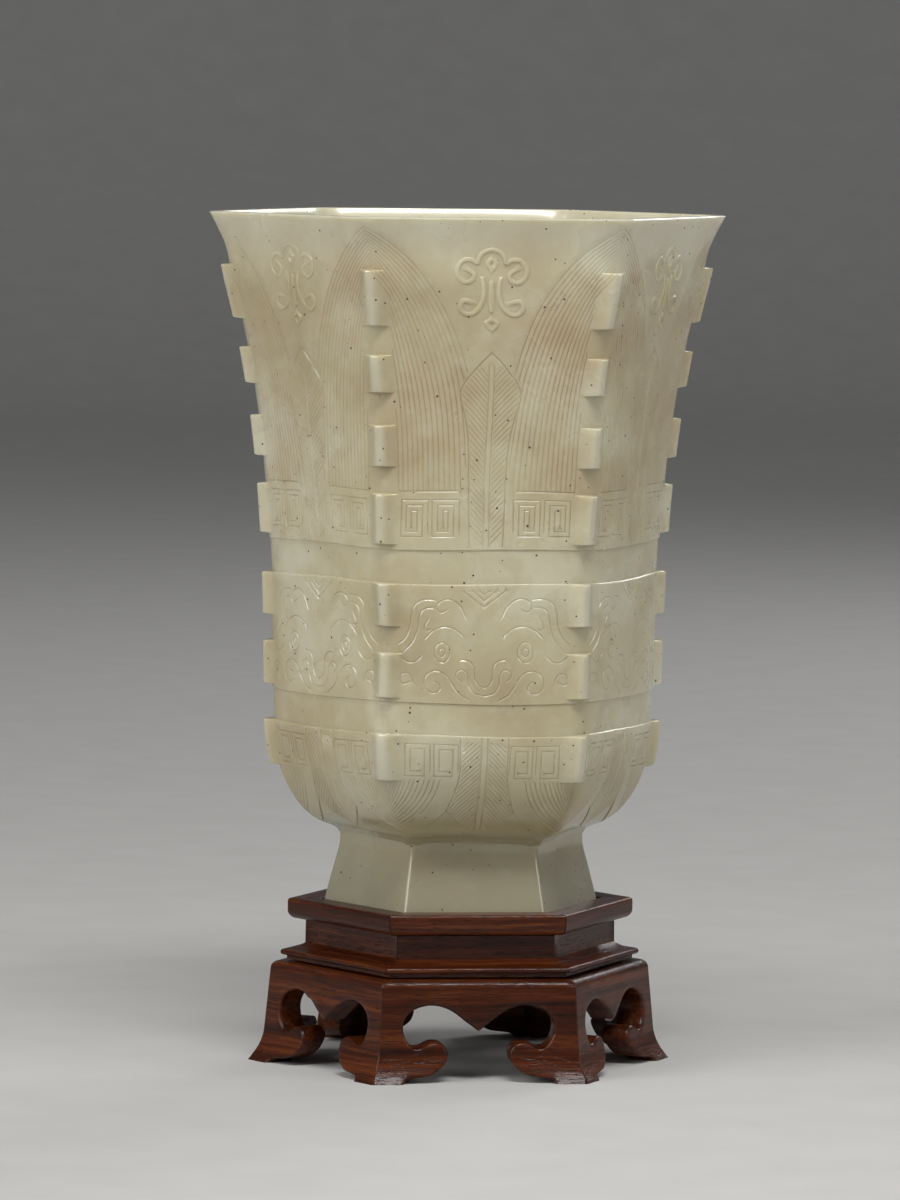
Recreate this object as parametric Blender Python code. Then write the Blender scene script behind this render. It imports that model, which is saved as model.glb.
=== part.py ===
"""A six-sided jade cup with notched flanges, standing on a mitred hardwood stand.

The cup is one carved stone. Its wall flares from a rounded bowl to a hexagonal rim with a
turned-out edge. Two plain bands, cut back a little, part it into registers, and in each of
them a row of raised teeth runs down every corner. Outlines of plantain leaves and square
frets are cut into its sides. The stand is joined like a small piece of furniture: a grooved
frame round a floating seat panel, a waist with a stepped moulding, and six fret-cut apron
panels whose lower ends curl into scroll feet.

Lengths are in metres and +Z is up. Corners lie on the X axis and a flat side faces -Y.
Radii of the cup reach to its corners. An apothem reaches square to the middle of a side.
"""

import math

import bmesh
import bpy
import numpy as np
from mathutils import Matrix, Vector

SIDES = 6
SIDE_TURN = 2 * math.pi / SIDES
HALF_SIDE = SIDE_TURN / 2

# Clearances
JOINT_GAP = 0.0003
SEAT_CLEARANCE = 0.0006

# Cup foot, from its underside up to the narrow neck
FOOT_RADIUS = 0.02425
FOOT_HEIGHT = 0.0107
FOOT_RING_WIDTH = 0.0045
FOOT_RECESS_DEPTH = 0.0050
NECK_RADIUS = 0.02145
NECK_LENGTH = 0.0028

# Cup bowl and wall
BOWL_DEPTH = 0.0190
BELLY_RADIUS = 0.03345
WALL_HEIGHT = 0.0886
RIM_RADIUS = 0.04495
RIM_LIP = 0.0005
RIM_WALL = 0.0017
BELLY_WALL = 0.0034
FLOOR_THICKNESS = 0.0088

# How far a cross-section is eased from a hexagon to the circle through its corners
BELLY_ROUNDNESS = 0.40
RIM_ROUNDNESS = 0.12

# Share of the flare that runs straight, the rest grows with the cube of the height
STRAIGHT_FLARE = 0.10

# Turned-out edge of the rim, and the shallow hollow ground below it
EDGE_FLARE = 0.00055
EDGE_FLARE_REACH = 0.0018
HOLLOW_DEPTH = 0.00055
HOLLOW_BELOW_RIM = 0.00615
HOLLOW_REACH = 0.0032

# Plain bands cut back round the cup. Rises count from the belly to the middle of a band
BAND_WIDTH = 0.00545
BAND_DEPTH = 0.00024
BAND_EDGE = 0.00015
LOWER_BAND_RISE = 0.00225
UPPER_BAND_RISE = 0.02840

# Rows of teeth on the corners of the cup, in the registers below, between and above the bands
TEETH_IN_REGISTERS = (1, 2, 4)
TOOTH_PROUD = 0.0016
TOOTH_WIDTH = 0.0034
TOOTH_BITE = 0.0006
NOTCH_LENGTH = 0.0052
TEETH_BELOW_RIM = 0.0091
TEETH_BELOW_BELLY = 0.0076
TEETH_ABOVE_BAND = 0.00125

# Carved outlines of plantain leaves: half of a great leaf beside each corner, counted from it
LINE_RADIUS = 0.0003
GREAT_LEAF_BELOW_RIM = 0.00165
GREAT_LEAF_WIDTH = 0.0162
GREAT_LEAF_BEND = 0.0095
GREAT_LEAF_START = 0.0009
GREAT_LEAF_LENGTH = 0.0225

# and a small leaf up the middle of each side. Drops count from its tip
SMALL_LEAF_BELOW_RIM = 0.02285
SMALL_LEAF_HALF_WIDTH = 0.0050
SMALL_LEAF_DROP = 0.0076
SMALL_LEAF_BROW = 0.0028
SMALL_LEAF_BROW_DROP = 0.0032
SMALL_LEAF_NECK = 0.0033
SMALL_LEAF_NECK_DROP = 0.0150
SMALL_LEAF_STALK = 0.0026

# and square frets that wind inwards, two on either hand above the upper and below the lower band
FRETS_ON_A_HAND = 2
FRET_WIDTH = 0.0044
FRET_HEIGHT = 0.0056
FRET_STEP = 0.0012
FRET_PITCH = 0.0052
FRET_REACH = 0.0046
FRET_ABOVE_BAND = 0.0031
FRET_BELOW_BAND = 0.0013

# Top frame of the stand
FRAME_WIDTH = 0.00486
FRAME_HEIGHT = 0.0036
FRAME_EDGE_RADIUS = 0.0005
FRAME_OVOLO_RADIUS = 0.0015
GROOVE_LEDGE = 0.0007
TENON_LENGTH = 0.0014
TENON_WIDTH = 0.0015
TENON_THICKNESS = 0.0010

# Seat panel
TONGUE_THICKNESS = 0.0010
TONGUE_LENGTH = 0.0015
TONGUE_SHOULDER = 0.00035

# Waist with its stepped moulding
WAIST_HEIGHT = 0.0039
WAIST_SETBACK = 0.00285
WAIST_THICKNESS = 0.0036
NOSE_PROUD = 0.00105
NOSE_HEIGHT = 0.0010
CAVETTO_HEIGHT = 0.0012
QUIRK_HEIGHT = 0.0007
QUIRK_DEPTH = 0.0010
SKIRT_DEPTH = 0.0022

# Apron panels
APRON_HEIGHT = 0.0175
APRON_PROUD = 0.0015
APRON_THICKNESS = 0.0040
APRON_BATTER = 0.085
SHOULDER_RADIUS = 0.0014
FOOT_FLARE = 0.0020
FOOT_FLARE_HEIGHT = 0.0055

# Fretwork above the legs: two arches with a pendant between them. Drops count from a crown
LEG_WIDTH = 0.0042
CROWN_DEPTH = 0.0043
ARCH_REACH = 0.0046
ARCH_SHOULDER_REACH = 0.0008
ARCH_SHOULDER_DROP = 0.0015
LEG_WAIST_DROP = 0.0040
PENDANT_LENGTH = 0.0044
PENDANT_SIDE_DROP = 0.0013

# Fretwork of a scroll foot. Reaches count inwards from the leg, heights from the table
HOOK_REACH = 0.0020
HOOK_HEIGHT = 0.0058
CURL_REACH = 0.0051
CURL_HEIGHT = 0.0068
SCROLL_REACH = 0.0076
SCROLL_HEIGHT = 0.0050
SOLE_REACH = 0.0063
SOLE_HEIGHT = 0.0022
TOE_REACH = 0.0008
TOE_HEIGHT = 0.0008
PAD_INSET = 0.0006

# Facets
POINTS_PER_SIDE = 6
FOOT_RINGS = 4
BOWL_RINGS = 9
BOWL_SPRING = 12
WALL_RINGS = 10
EDGE_RINGS = 3
FLOOR_RINGS = 6
FLOOR_SWEEP = 78
TOOTH_STATIONS = 3
LEAF_STATIONS = 8
STALK_STATIONS = 4
ARC_STEPS = 4
FRET_STEPS = 4
WELD = 1e-6
SHARP_EDGE = math.radians(25)

# Places worked out from the sizes above, from the table upwards
COS_HALF = math.cos(HALF_SIDE)
TAN_HALF = math.tan(HALF_SIDE)
LIP_APOTHEM = FOOT_RADIUS * COS_HALF + SEAT_CLEARANCE
FRAME_APOTHEM = LIP_APOTHEM + FRAME_WIDTH
WAIST_APOTHEM = FRAME_APOTHEM - WAIST_SETBACK
NOSE_APOTHEM = FRAME_APOTHEM + NOSE_PROUD
APRON_APOTHEM = NOSE_APOTHEM + APRON_PROUD
APRON_INSIDE = APRON_APOTHEM - APRON_THICKNESS
GROOVE_APOTHEM = LIP_APOTHEM + TONGUE_LENGTH

WAIST_LOW = APRON_HEIGHT + JOINT_GAP
WAIST_TOP = WAIST_LOW + QUIRK_HEIGHT + NOSE_HEIGHT + CAVETTO_HEIGHT + WAIST_HEIGHT
FRAME_LOW = WAIST_TOP + JOINT_GAP
FRAME_TOP = FRAME_LOW + FRAME_HEIGHT
GROOVE_LOW = FRAME_LOW + GROOVE_LEDGE
TONGUE_LOW = GROOVE_LOW + JOINT_GAP
TONGUE_TOP = TONGUE_LOW + TONGUE_THICKNESS
GROOVE_TOP = TONGUE_TOP + JOINT_GAP
SEAT_TOP = TONGUE_TOP + TONGUE_SHOULDER
CUP_LOW = SEAT_TOP + JOINT_GAP

BELLY_HEIGHT = FOOT_HEIGHT + NECK_LENGTH + BOWL_DEPTH
CUP_HEIGHT = BELLY_HEIGHT + WALL_HEIGHT
FLOOR_HEIGHT = FOOT_HEIGHT + FLOOR_THICKNESS
LOWER_BAND = BELLY_HEIGHT + LOWER_BAND_RISE
UPPER_BAND = BELLY_HEIGHT + UPPER_BAND_RISE


def clear_scene():
    for thing in list(bpy.data.objects):
        bpy.data.objects.remove(thing)


def new_collection(name):
    collection = bpy.data.collections.new(name)
    bpy.context.scene.collection.children.link(collection)
    return collection


def finish(name, colour, roughness):
    """A plain surface material of one colour, without metal."""
    material = bpy.data.materials.new(name)
    material.use_nodes = True
    shader = material.node_tree.nodes["Principled BSDF"]
    shader.inputs["Base Color"].default_value = (*colour, 1.0)
    shader.inputs["Roughness"].default_value = roughness
    shader.inputs["Metallic"].default_value = 0.0
    material.diffuse_color = (*colour, 1.0)
    return material


def mesh_of(thing):
    """The mesh of an object with its modifiers worked in."""
    bpy.context.view_layer.update()
    graph = bpy.context.evaluated_depsgraph_get()
    return bpy.data.meshes.new_from_object(thing.evaluated_get(graph))


def standing(turn):
    """The turn that stands a flat outline up: its X reaches out at the given angle, its Y goes up."""
    return Matrix.Rotation(turn, 4, "Z") @ Matrix.Rotation(math.pi / 2, 4, "X")


def flat_outline(name, loops, half_depth):
    """A filled curve of straight-sided loops, extruded to both sides of its plane."""
    curve = bpy.data.curves.new(name, "CURVE")
    curve.dimensions = "2D"
    curve.fill_mode = "BOTH"
    curve.extrude = half_depth
    for loop in loops:
        spline = curve.splines.new("POLY")
        spline.points.add(len(loop) - 1)
        for point, (across, up) in zip(spline.points, loop):
            point.co = (across, up, 0, 1)
        spline.use_cyclic_u = True
    return curve


def solid_from(curve, matrix):
    """A closed mesh of an extruded curve, moved by the matrix, with its caps welded on."""
    guide = bpy.data.objects.new(curve.name, curve)
    bpy.context.scene.collection.objects.link(guide)
    mesh = mesh_of(guide)
    bpy.data.objects.remove(guide)
    work = bmesh.new()
    work.from_mesh(mesh)
    bmesh.ops.remove_doubles(work, verts=work.verts, dist=WELD)
    bmesh.ops.transform(work, matrix=matrix, verts=work.verts)
    bmesh.ops.recalc_face_normals(work, faces=work.faces)
    work.to_mesh(mesh)
    work.free()
    return mesh


def boolean(thing, operation, other):
    change = thing.modifiers.new(other.name, "BOOLEAN")
    change.operation = operation
    change.solver = "EXACT"
    change.object = other


def helper(name, mesh, collection):
    """A guide that shapes another piece and isn't a piece itself."""
    thing = bpy.data.objects.new(name, mesh)
    thing.hide_render = True
    thing.display_type = "WIRE"
    collection.objects.link(thing)
    return thing


def arc(centre, radius, start, end, steps=ARC_STEPS):
    """Points of a circular arc between two angles in degrees."""
    angles = np.radians(np.linspace(start, end, steps + 1))
    across = centre[0] + radius * np.cos(angles)
    up = centre[1] + radius * np.sin(angles)
    return list(zip(across, up))


def plain_radius(height):
    """Corner radius of the cup: a quarter ellipse up to the belly, a cubic flare above it."""
    below = np.clip((BELLY_HEIGHT - height) / BOWL_DEPTH, 0, 1)
    bowl = NECK_RADIUS + (BELLY_RADIUS - NECK_RADIUS) * np.sqrt(1 - below**2)
    rise = np.clip((height - BELLY_HEIGHT) / WALL_HEIGHT, 0, 1)
    flare = STRAIGHT_FLARE * rise + (1 - STRAIGHT_FLARE) * rise**3
    return bowl + (RIM_RADIUS - BELLY_RADIUS) * flare


def outer_radius(height):
    """The plain radius with the bell-shaped hollow under the rim, and the edge turned out above it."""
    below_rim = CUP_HEIGHT - height
    edge = EDGE_FLARE * np.exp(-below_rim / EDGE_FLARE_REACH)
    hollow = HOLLOW_DEPTH * np.exp(-(((below_rim - HOLLOW_BELOW_RIM) / HOLLOW_REACH) ** 2))
    return plain_radius(height) + edge - hollow


def band_edges():
    """Heights where a plain band starts and ends its short sloping edges."""
    heights = []
    for middle in (LOWER_BAND, UPPER_BAND):
        for half in ((BAND_WIDTH - BAND_EDGE) / 2, (BAND_WIDTH + BAND_EDGE) / 2):
            heights += [middle - half, middle + half]
    return heights


def band_depth(height):
    """How far the outside is cut back at a height: the full depth within a band, none beyond it."""
    away = min(abs(height - LOWER_BAND), abs(height - UPPER_BAND))
    return BAND_DEPTH * np.clip((BAND_WIDTH / 2 - away) / BAND_EDGE + 0.5, 0, 1)


def wall_at(height):
    """Thickness of the cup's wall, thinning from the belly to the rim."""
    return np.interp(height, (BELLY_HEIGHT, CUP_HEIGHT), (BELLY_WALL, RIM_WALL))


def roundness_at(height):
    """Crisp hexagon up to the neck, roundest at the belly, nearly flat-sided at the rim."""
    stations = (FOOT_HEIGHT, BELLY_HEIGHT, CUP_HEIGHT)
    return np.interp(height, stations, (0, BELLY_ROUNDNESS, RIM_ROUNDNESS))


def cup_rings():
    """Height and corner radius of each ring, from the recess under the foot to the inner floor."""
    ring_radius = FOOT_RADIUS - FOOT_RING_WIDTH
    foot = [(FOOT_RECESS_DEPTH, ring_radius), (0.0, ring_radius)]
    for share in np.linspace(0, 1, FOOT_RINGS):
        foot.append((share * FOOT_HEIGHT, FOOT_RADIUS + share * (NECK_RADIUS - FOOT_RADIUS)))

    sweep = np.radians(np.linspace(BOWL_SPRING, 90, BOWL_RINGS))
    bowl_heights = BELLY_HEIGHT - BOWL_DEPTH * np.cos(sweep)
    spring = bowl_heights[0]
    neck_share = 0.5
    neck_middle = FOOT_HEIGHT + neck_share * (spring - FOOT_HEIGHT)
    neck_radius = NECK_RADIUS + neck_share**2 * (outer_radius(spring) - NECK_RADIUS)
    outside = [(neck_middle, neck_radius)]
    wall_heights = np.linspace(BELLY_HEIGHT, CUP_HEIGHT - RIM_LIP, WALL_RINGS + 1)[1:]
    edge_heights = CUP_HEIGHT - np.linspace(HOLLOW_BELOW_RIM, RIM_LIP, EDGE_RINGS + 1)[:-1]
    for height in sorted([*bowl_heights, *wall_heights, *edge_heights, *band_edges()]):
        outside.append((height, outer_radius(height) - band_depth(height)))

    rim_outside = outer_radius(CUP_HEIGHT)
    rim_inside = RIM_RADIUS - RIM_WALL
    lip = [(CUP_HEIGHT, rim_outside - RIM_LIP), (CUP_HEIGHT, rim_inside + RIM_LIP)]
    inside = [(height, plain_radius(height) - wall_at(height)) for height in wall_heights[::-1]]
    floor_radius = BELLY_RADIUS - BELLY_WALL
    floor_rise = BELLY_HEIGHT - FLOOR_HEIGHT
    for angle in np.radians(np.linspace(0, FLOOR_SWEEP, FLOOR_RINGS)):
        inside.append((BELLY_HEIGHT - floor_rise * math.sin(angle), floor_radius * math.cos(angle)))
    return foot + outside + lip + inside


def cup_mesh():
    """The cup's wall, bowl and foot as one loft of eased hexagons, closed at both middles."""
    count = SIDES * POINTS_PER_SIDE
    turns = np.arange(count) * 2 * math.pi / count
    straight = COS_HALF / np.cos(turns % SIDE_TURN - HALF_SIDE)
    work = bmesh.new()
    rings = []
    for height, radius in cup_rings():
        reach = radius * (straight + roundness_at(height) * (1 - straight))
        places = zip(reach * np.cos(turns), reach * np.sin(turns))
        rings.append([work.verts.new((x, y, height)) for x, y in places])
    for lower, upper in zip(rings, rings[1:]):
        for here in range(count):
            after = (here + 1) % count
            work.faces.new((lower[here], lower[after], upper[after], upper[here]))
    ends = ((rings[0], FOOT_RECESS_DEPTH, -1), (rings[-1], FLOOR_HEIGHT, 1))
    for ring, height, order in ends:
        pole = work.verts.new((0, 0, height))
        for here in range(count):
            pair = (ring[here], ring[(here + 1) % count])[::order]
            work.faces.new((*pair, pole))
    mesh = bpy.data.meshes.new("jade_cup")
    work.to_mesh(mesh)
    work.free()
    return mesh


def tooth_spans():
    """Bottom and top of each tooth: every register is shared out evenly, with notches between."""
    half_band = BAND_WIDTH / 2
    lows = (BELLY_HEIGHT - TEETH_BELOW_BELLY, LOWER_BAND + half_band, UPPER_BAND + half_band)
    highs = (LOWER_BAND - half_band, UPPER_BAND - half_band, CUP_HEIGHT - TEETH_BELOW_RIM)
    lifts = (0, TEETH_ABOVE_BAND, TEETH_ABOVE_BAND)
    spans = []
    for low, lift, high, count in zip(lows, lifts, highs, TEETH_IN_REGISTERS):
        pitch = (high - low - lift + NOTCH_LENGTH) / count
        feet = low + lift + pitch * np.arange(count)
        spans += [(foot, foot + pitch - NOTCH_LENGTH) for foot in feet]
    return spans


def teeth_mesh():
    """All the teeth: along each corner a row of flat outlines that follow the wall's curve."""
    root = TOOTH_WIDTH / 2 * TAN_HALF + TOOTH_BITE
    loops = []
    for foot, top in tooth_spans():
        heights = np.linspace(foot, top, TOOTH_STATIONS)
        faces = outer_radius(heights)
        outer = list(zip(faces + TOOTH_PROUD, heights))
        inner = list(zip(faces - root, heights))
        loops.append(outer + inner[::-1])
    work = bmesh.new()
    for corner in range(SIDES):
        curve = flat_outline("corner_teeth", loops, TOOTH_WIDTH / 2)
        work.from_mesh(solid_from(curve, standing(corner * SIDE_TURN)))
    mesh = bpy.data.meshes.new("corner_teeth")
    work.to_mesh(mesh)
    work.free()
    return mesh


def on_front_side(across, height):
    """A point of the outside at a reach from the middle of the front side."""
    radius = outer_radius(height)
    easing = roundness_at(height)
    turn = math.atan2(across, radius * (COS_HALF + easing * (1 - COS_HALF)))
    straight = COS_HALF / math.cos(turn)
    reach = radius * (straight + easing * (1 - straight))
    return (reach * math.sin(turn), -reach * math.cos(turn), height)


def leaf_lines():
    """Carved lines of the front side: the small leaf's outline, and the great leaves' edges."""
    tip = CUP_HEIGHT - SMALL_LEAF_BELOW_RIM
    stalk_foot = UPPER_BAND + BAND_WIDTH / 2 + TEETH_ABOVE_BAND
    stalk_heights = np.linspace(stalk_foot, tip - SMALL_LEAF_NECK_DROP, STALK_STATIONS)
    stalk_halves = np.linspace(SMALL_LEAF_STALK, SMALL_LEAF_NECK, STALK_STATIONS)
    half_leaf = list(zip(stalk_halves, stalk_heights))
    half_leaf.append((SMALL_LEAF_HALF_WIDTH, tip - SMALL_LEAF_DROP))
    half_leaf.append((SMALL_LEAF_BROW, tip - SMALL_LEAF_BROW_DROP))
    other_half = [(-across, height) for across, height in half_leaf[::-1]]
    lines = [half_leaf + [(0.0, tip)] + other_half]

    drops = np.linspace(GREAT_LEAF_START, GREAT_LEAF_LENGTH, LEAF_STATIONS)
    heights = CUP_HEIGHT - GREAT_LEAF_BELOW_RIM - drops
    from_corner = GREAT_LEAF_WIDTH * (1 - np.exp(-drops / GREAT_LEAF_BEND))
    across = outer_radius(heights) * math.sin(HALF_SIDE) - from_corner
    return lines + [list(zip(hand * across, heights)) for hand in (-1, 1)]


def fret_lines():
    """Carved lines of the front side: each fret one line that winds inwards from its outer foot."""
    lines = []
    upper_foot = UPPER_BAND + BAND_WIDTH / 2 + FRET_ABOVE_BAND
    lower_foot = LOWER_BAND - BAND_WIDTH / 2 - FRET_BELOW_BAND - FRET_HEIGHT
    for foot in (lower_foot, upper_foot):
        top = foot + FRET_HEIGHT
        for place in range(FRETS_ON_A_HAND):
            left = FRET_REACH + place * FRET_PITCH
            right = left + FRET_WIDTH
            round_it = [(left, foot + FRET_STEP), (left, top), (right, top), (right, foot)]
            turn_in = [(left + FRET_STEP, foot), (left + FRET_STEP, top - FRET_STEP)]
            fret = round_it + turn_in
            lines += [[(hand * across, height) for across, height in fret] for hand in (-1, 1)]
    return lines


def lines_mesh():
    """Thin square rods along the carved lines of all six sides, to be cut out of the wall."""
    curve = bpy.data.curves.new("carved_lines", "CURVE")
    curve.dimensions = "3D"
    curve.bevel_depth = LINE_RADIUS
    curve.bevel_resolution = 0
    curve.use_fill_caps = True
    for line in leaf_lines() + fret_lines():
        spline = curve.splines.new("POLY")
        spline.points.add(len(line) - 1)
        for point, place in zip(spline.points, line):
            point.co = (*on_front_side(*place), 1)
    rods = solid_from(curve, Matrix.Identity(4))
    work = bmesh.new()
    for side in range(SIDES):
        rods.transform(Matrix.Rotation(SIDE_TURN, 4, "Z"))
        work.from_mesh(rods)
    mesh = bpy.data.meshes.new("carved_lines")
    work.to_mesh(mesh)
    work.free()
    return mesh


def make_cup(parts, guides, material):
    cup = bpy.data.objects.new("jade_cup", cup_mesh())
    parts.objects.link(cup)
    teeth = helper("corner_teeth", teeth_mesh(), guides)
    lines = helper("carved_lines", lines_mesh(), guides)
    boolean(cup, "UNION", teeth)
    boolean(cup, "DIFFERENCE", lines)
    for thing in (cup, teeth, lines):
        thing.location.z = CUP_LOW
    cup.data.materials.append(material)
    cup.data.shade_smooth()
    cup.data.set_sharp_from_angle(angle=SHARP_EDGE)
    return cup


def mitred(name, outline, longest_apothem):
    """A strip of the given cross-section, cut at both ends to meet its neighbours at a corner."""
    half_length = longest_apothem * TAN_HALF + JOINT_GAP
    mesh = solid_from(flat_outline(name, [outline], half_length), standing(-math.pi / 2))
    work = bmesh.new()
    work.from_mesh(mesh)
    for end in (-1, 1):
        square_out = Vector((end * COS_HALF, math.sin(HALF_SIDE), 0))
        everything = work.verts[:] + work.edges[:] + work.faces[:]
        bmesh.ops.bisect_plane(
            work,
            geom=everything,
            plane_co=-square_out * JOINT_GAP / 2,
            plane_no=square_out,
            clear_outer=True,
        )
        rim = [edge for edge in work.edges if edge.is_boundary]
        bmesh.ops.holes_fill(work, edges=rim, sides=0)
    bmesh.ops.recalc_face_normals(work, faces=work.faces)
    work.to_mesh(mesh)
    work.free()
    return mesh


def round_the_stand(name, mesh, parts, stand, material):
    """Six pieces that share one mesh, each turned on by one side of the hexagon."""
    mesh.materials.clear()
    mesh.materials.append(material)
    mesh.shade_smooth()
    mesh.set_sharp_from_angle(angle=SHARP_EDGE)
    for side in range(SIDES):
        piece = bpy.data.objects.new(f"{name}_{side + 1}", mesh)
        piece.rotation_euler.z = side * SIDE_TURN
        piece.parent = stand
        parts.objects.link(piece)


def frame_outline():
    """Rail section: flat top, vertical fascia, ovolo below, and a groove for the seat panel."""
    edge = FRAME_EDGE_RADIUS
    ovolo = FRAME_OVOLO_RADIUS
    outline = arc((FRAME_APOTHEM - ovolo, FRAME_LOW + ovolo), ovolo, -90, 0)
    outline += arc((FRAME_APOTHEM - edge, FRAME_TOP - edge), edge, 0, 90)
    outline += [
        (LIP_APOTHEM, FRAME_TOP),
        (LIP_APOTHEM, GROOVE_TOP),
        (GROOVE_APOTHEM, GROOVE_TOP),
        (GROOVE_APOTHEM, GROOVE_LOW),
        (LIP_APOTHEM, GROOVE_LOW),
        (LIP_APOTHEM, FRAME_LOW),
    ]
    return outline


def mitre_key(clearance):
    """The tenon across a mitre: a bar square to the mitre face, at the right end of a rail.

    It lies in the solid wood between the groove and the fascia. Both its ends lean towards
    the fascia, by half their reach, so its middle is set in by a quarter of its length.
    """
    wood_middle = (GROOVE_APOTHEM + FRAME_APOTHEM) / 2
    out = (wood_middle - TENON_LENGTH / 4) / COS_HALF
    length = 2 * (TENON_LENGTH + clearance)
    work = bmesh.new()
    bmesh.ops.create_cube(work, size=1)
    sizes = (length, TENON_WIDTH + 2 * clearance, TENON_THICKNESS + 2 * clearance)
    bmesh.ops.scale(work, vec=sizes, verts=work.verts)
    middle = (GROOVE_TOP + GROOVE_LOW) / 2
    bmesh.ops.translate(work, vec=(0, -out, middle), verts=work.verts)
    bmesh.ops.rotate(work, matrix=Matrix.Rotation(HALF_SIDE, 3, "Z"), verts=work.verts)
    mesh = bpy.data.meshes.new("mitre_key")
    work.to_mesh(mesh)
    work.free()
    return mesh


def make_frame(parts, guides, stand, material):
    rail = bpy.data.objects.new("frame_rail", mitred("frame_rail", frame_outline(), FRAME_APOTHEM))
    guides.objects.link(rail)
    tenon = helper("frame_tenon", mitre_key(0), guides)
    mortise = helper("frame_mortise", mitre_key(JOINT_GAP), guides)
    mortise.rotation_euler.z = -SIDE_TURN
    boolean(rail, "UNION", tenon)
    boolean(rail, "DIFFERENCE", mortise)
    mesh = mesh_of(rail)
    bpy.data.objects.remove(rail)
    round_the_stand("frame_rail", mesh, parts, stand, material)


def hexagon_prism(apothem, low, high):
    """A flat six-sided plate with its corners on the X axis."""
    work = bmesh.new()
    place = Matrix.Translation((0, 0, (low + high) / 2)) @ Matrix.Rotation(HALF_SIDE, 4, "Z")
    bmesh.ops.create_cone(
        work,
        cap_ends=True,
        segments=SIDES,
        radius1=apothem / COS_HALF,
        radius2=apothem / COS_HALF,
        depth=high - low,
        matrix=place,
    )
    mesh = bpy.data.meshes.new("hexagon_prism")
    work.to_mesh(mesh)
    work.free()
    return mesh


def make_seat(parts, guides, stand, material):
    field = hexagon_prism(LIP_APOTHEM - JOINT_GAP, FRAME_LOW, SEAT_TOP)
    seat = bpy.data.objects.new("seat_panel", field)
    parts.objects.link(seat)
    tongue_apothem = GROOVE_APOTHEM - JOINT_GAP
    tongue = helper("seat_tongue", hexagon_prism(tongue_apothem, TONGUE_LOW, TONGUE_TOP), guides)
    boolean(seat, "UNION", tongue)
    seat.parent = stand
    seat.data.materials.append(material)


def waist_outline():
    """Waist section: skirt behind the apron, quirk, rounded nose, cavetto, then the plain waist."""
    inside = WAIST_APOTHEM - WAIST_THICKNESS
    skirt = APRON_INSIDE - JOINT_GAP
    quirk = NOSE_APOTHEM - QUIRK_DEPTH
    nose_low = WAIST_LOW + QUIRK_HEIGHT
    nose_top = nose_low + NOSE_HEIGHT
    nose = NOSE_HEIGHT / 2
    hollow_reach = NOSE_APOTHEM - nose - WAIST_APOTHEM
    outline = [
        (inside, WAIST_LOW - SKIRT_DEPTH),
        (skirt, WAIST_LOW - SKIRT_DEPTH),
        (skirt, WAIST_LOW),
        (quirk, WAIST_LOW),
        (quirk, nose_low),
    ]
    outline += arc((NOSE_APOTHEM - nose, nose_low + nose), nose, -90, 90)
    for share in np.linspace(0, 1, ARC_STEPS + 1)[1:]:
        drop = CAVETTO_HEIGHT * share**2
        outline.append((NOSE_APOTHEM - nose - hollow_reach * share, nose_top + drop))
    outline += [(WAIST_APOTHEM, WAIST_TOP), (inside, WAIST_TOP)]
    return outline


def apron_face(height):
    """Apothem of the apron's outer face: a slight batter, then a quadratic flare at the foot."""
    shoulder = APRON_HEIGHT - SHOULDER_RADIUS
    batter = APRON_BATTER * (shoulder - height)
    flare = max(0.0, 1 - height / FOOT_FLARE_HEIGHT)
    return APRON_APOTHEM + batter + FOOT_FLARE * flare**2


def apron_outline():
    """Board section: rounded shoulder, battered face flaring at the foot, inside face to match."""
    shoulder = APRON_HEIGHT - SHOULDER_RADIUS
    outline = [(APRON_INSIDE + FOOT_FLARE, 0.0)]
    for share in np.linspace(0, 1, ARC_STEPS + 2):
        height = share * FOOT_FLARE_HEIGHT
        outline.append((apron_face(height), height))
    outline += arc((APRON_APOTHEM - SHOULDER_RADIUS, shoulder), SHOULDER_RADIUS, 0, 90)
    outline += [(APRON_INSIDE, APRON_HEIGHT), (APRON_INSIDE, FOOT_FLARE_HEIGHT)]
    return outline


def fret_curve():
    """The opening of a panel: two arches with a pendant between them, over two scroll feet."""
    leg = apron_face(FOOT_FLARE_HEIGHT) * TAN_HALF - LEG_WIDTH
    crown = APRON_HEIGHT - CROWN_DEPTH
    arch = leg - ARCH_REACH
    pendant = (0.0, crown - PENDANT_LENGTH)
    pad = (leg + PAD_INSET, -TOE_HEIGHT)
    half = [
        (arch / 2, crown - PENDANT_SIDE_DROP),
        (arch, crown),
        (leg - ARCH_SHOULDER_REACH, crown - ARCH_SHOULDER_DROP),
        (leg, crown - LEG_WAIST_DROP),
        (leg - HOOK_REACH, HOOK_HEIGHT),
        (leg - CURL_REACH, CURL_HEIGHT),
        (leg - SCROLL_REACH, SCROLL_HEIGHT),
        (leg - SOLE_REACH, SOLE_HEIGHT),
        (leg - TOE_REACH, TOE_HEIGHT),
        pad,
    ]
    around = [pendant] + half + [(-across, up) for across, up in half[::-1]]
    curve = bpy.data.curves.new("apron_fret", "CURVE")
    curve.dimensions = "2D"
    curve.fill_mode = "BOTH"
    curve.extrude = APRON_THICKNESS + FOOT_FLARE * 2
    curve.resolution_u = FRET_STEPS
    spline = curve.splines.new("BEZIER")
    spline.bezier_points.add(len(around) - 1)
    for point, place in zip(spline.bezier_points, around):
        point.co = (*place, 0)
        corner = place == pendant or place[1] == pad[1]
        point.handle_left_type = "VECTOR" if corner else "AUTO"
        point.handle_right_type = point.handle_left_type
    spline.use_cyclic_u = True
    return curve


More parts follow.
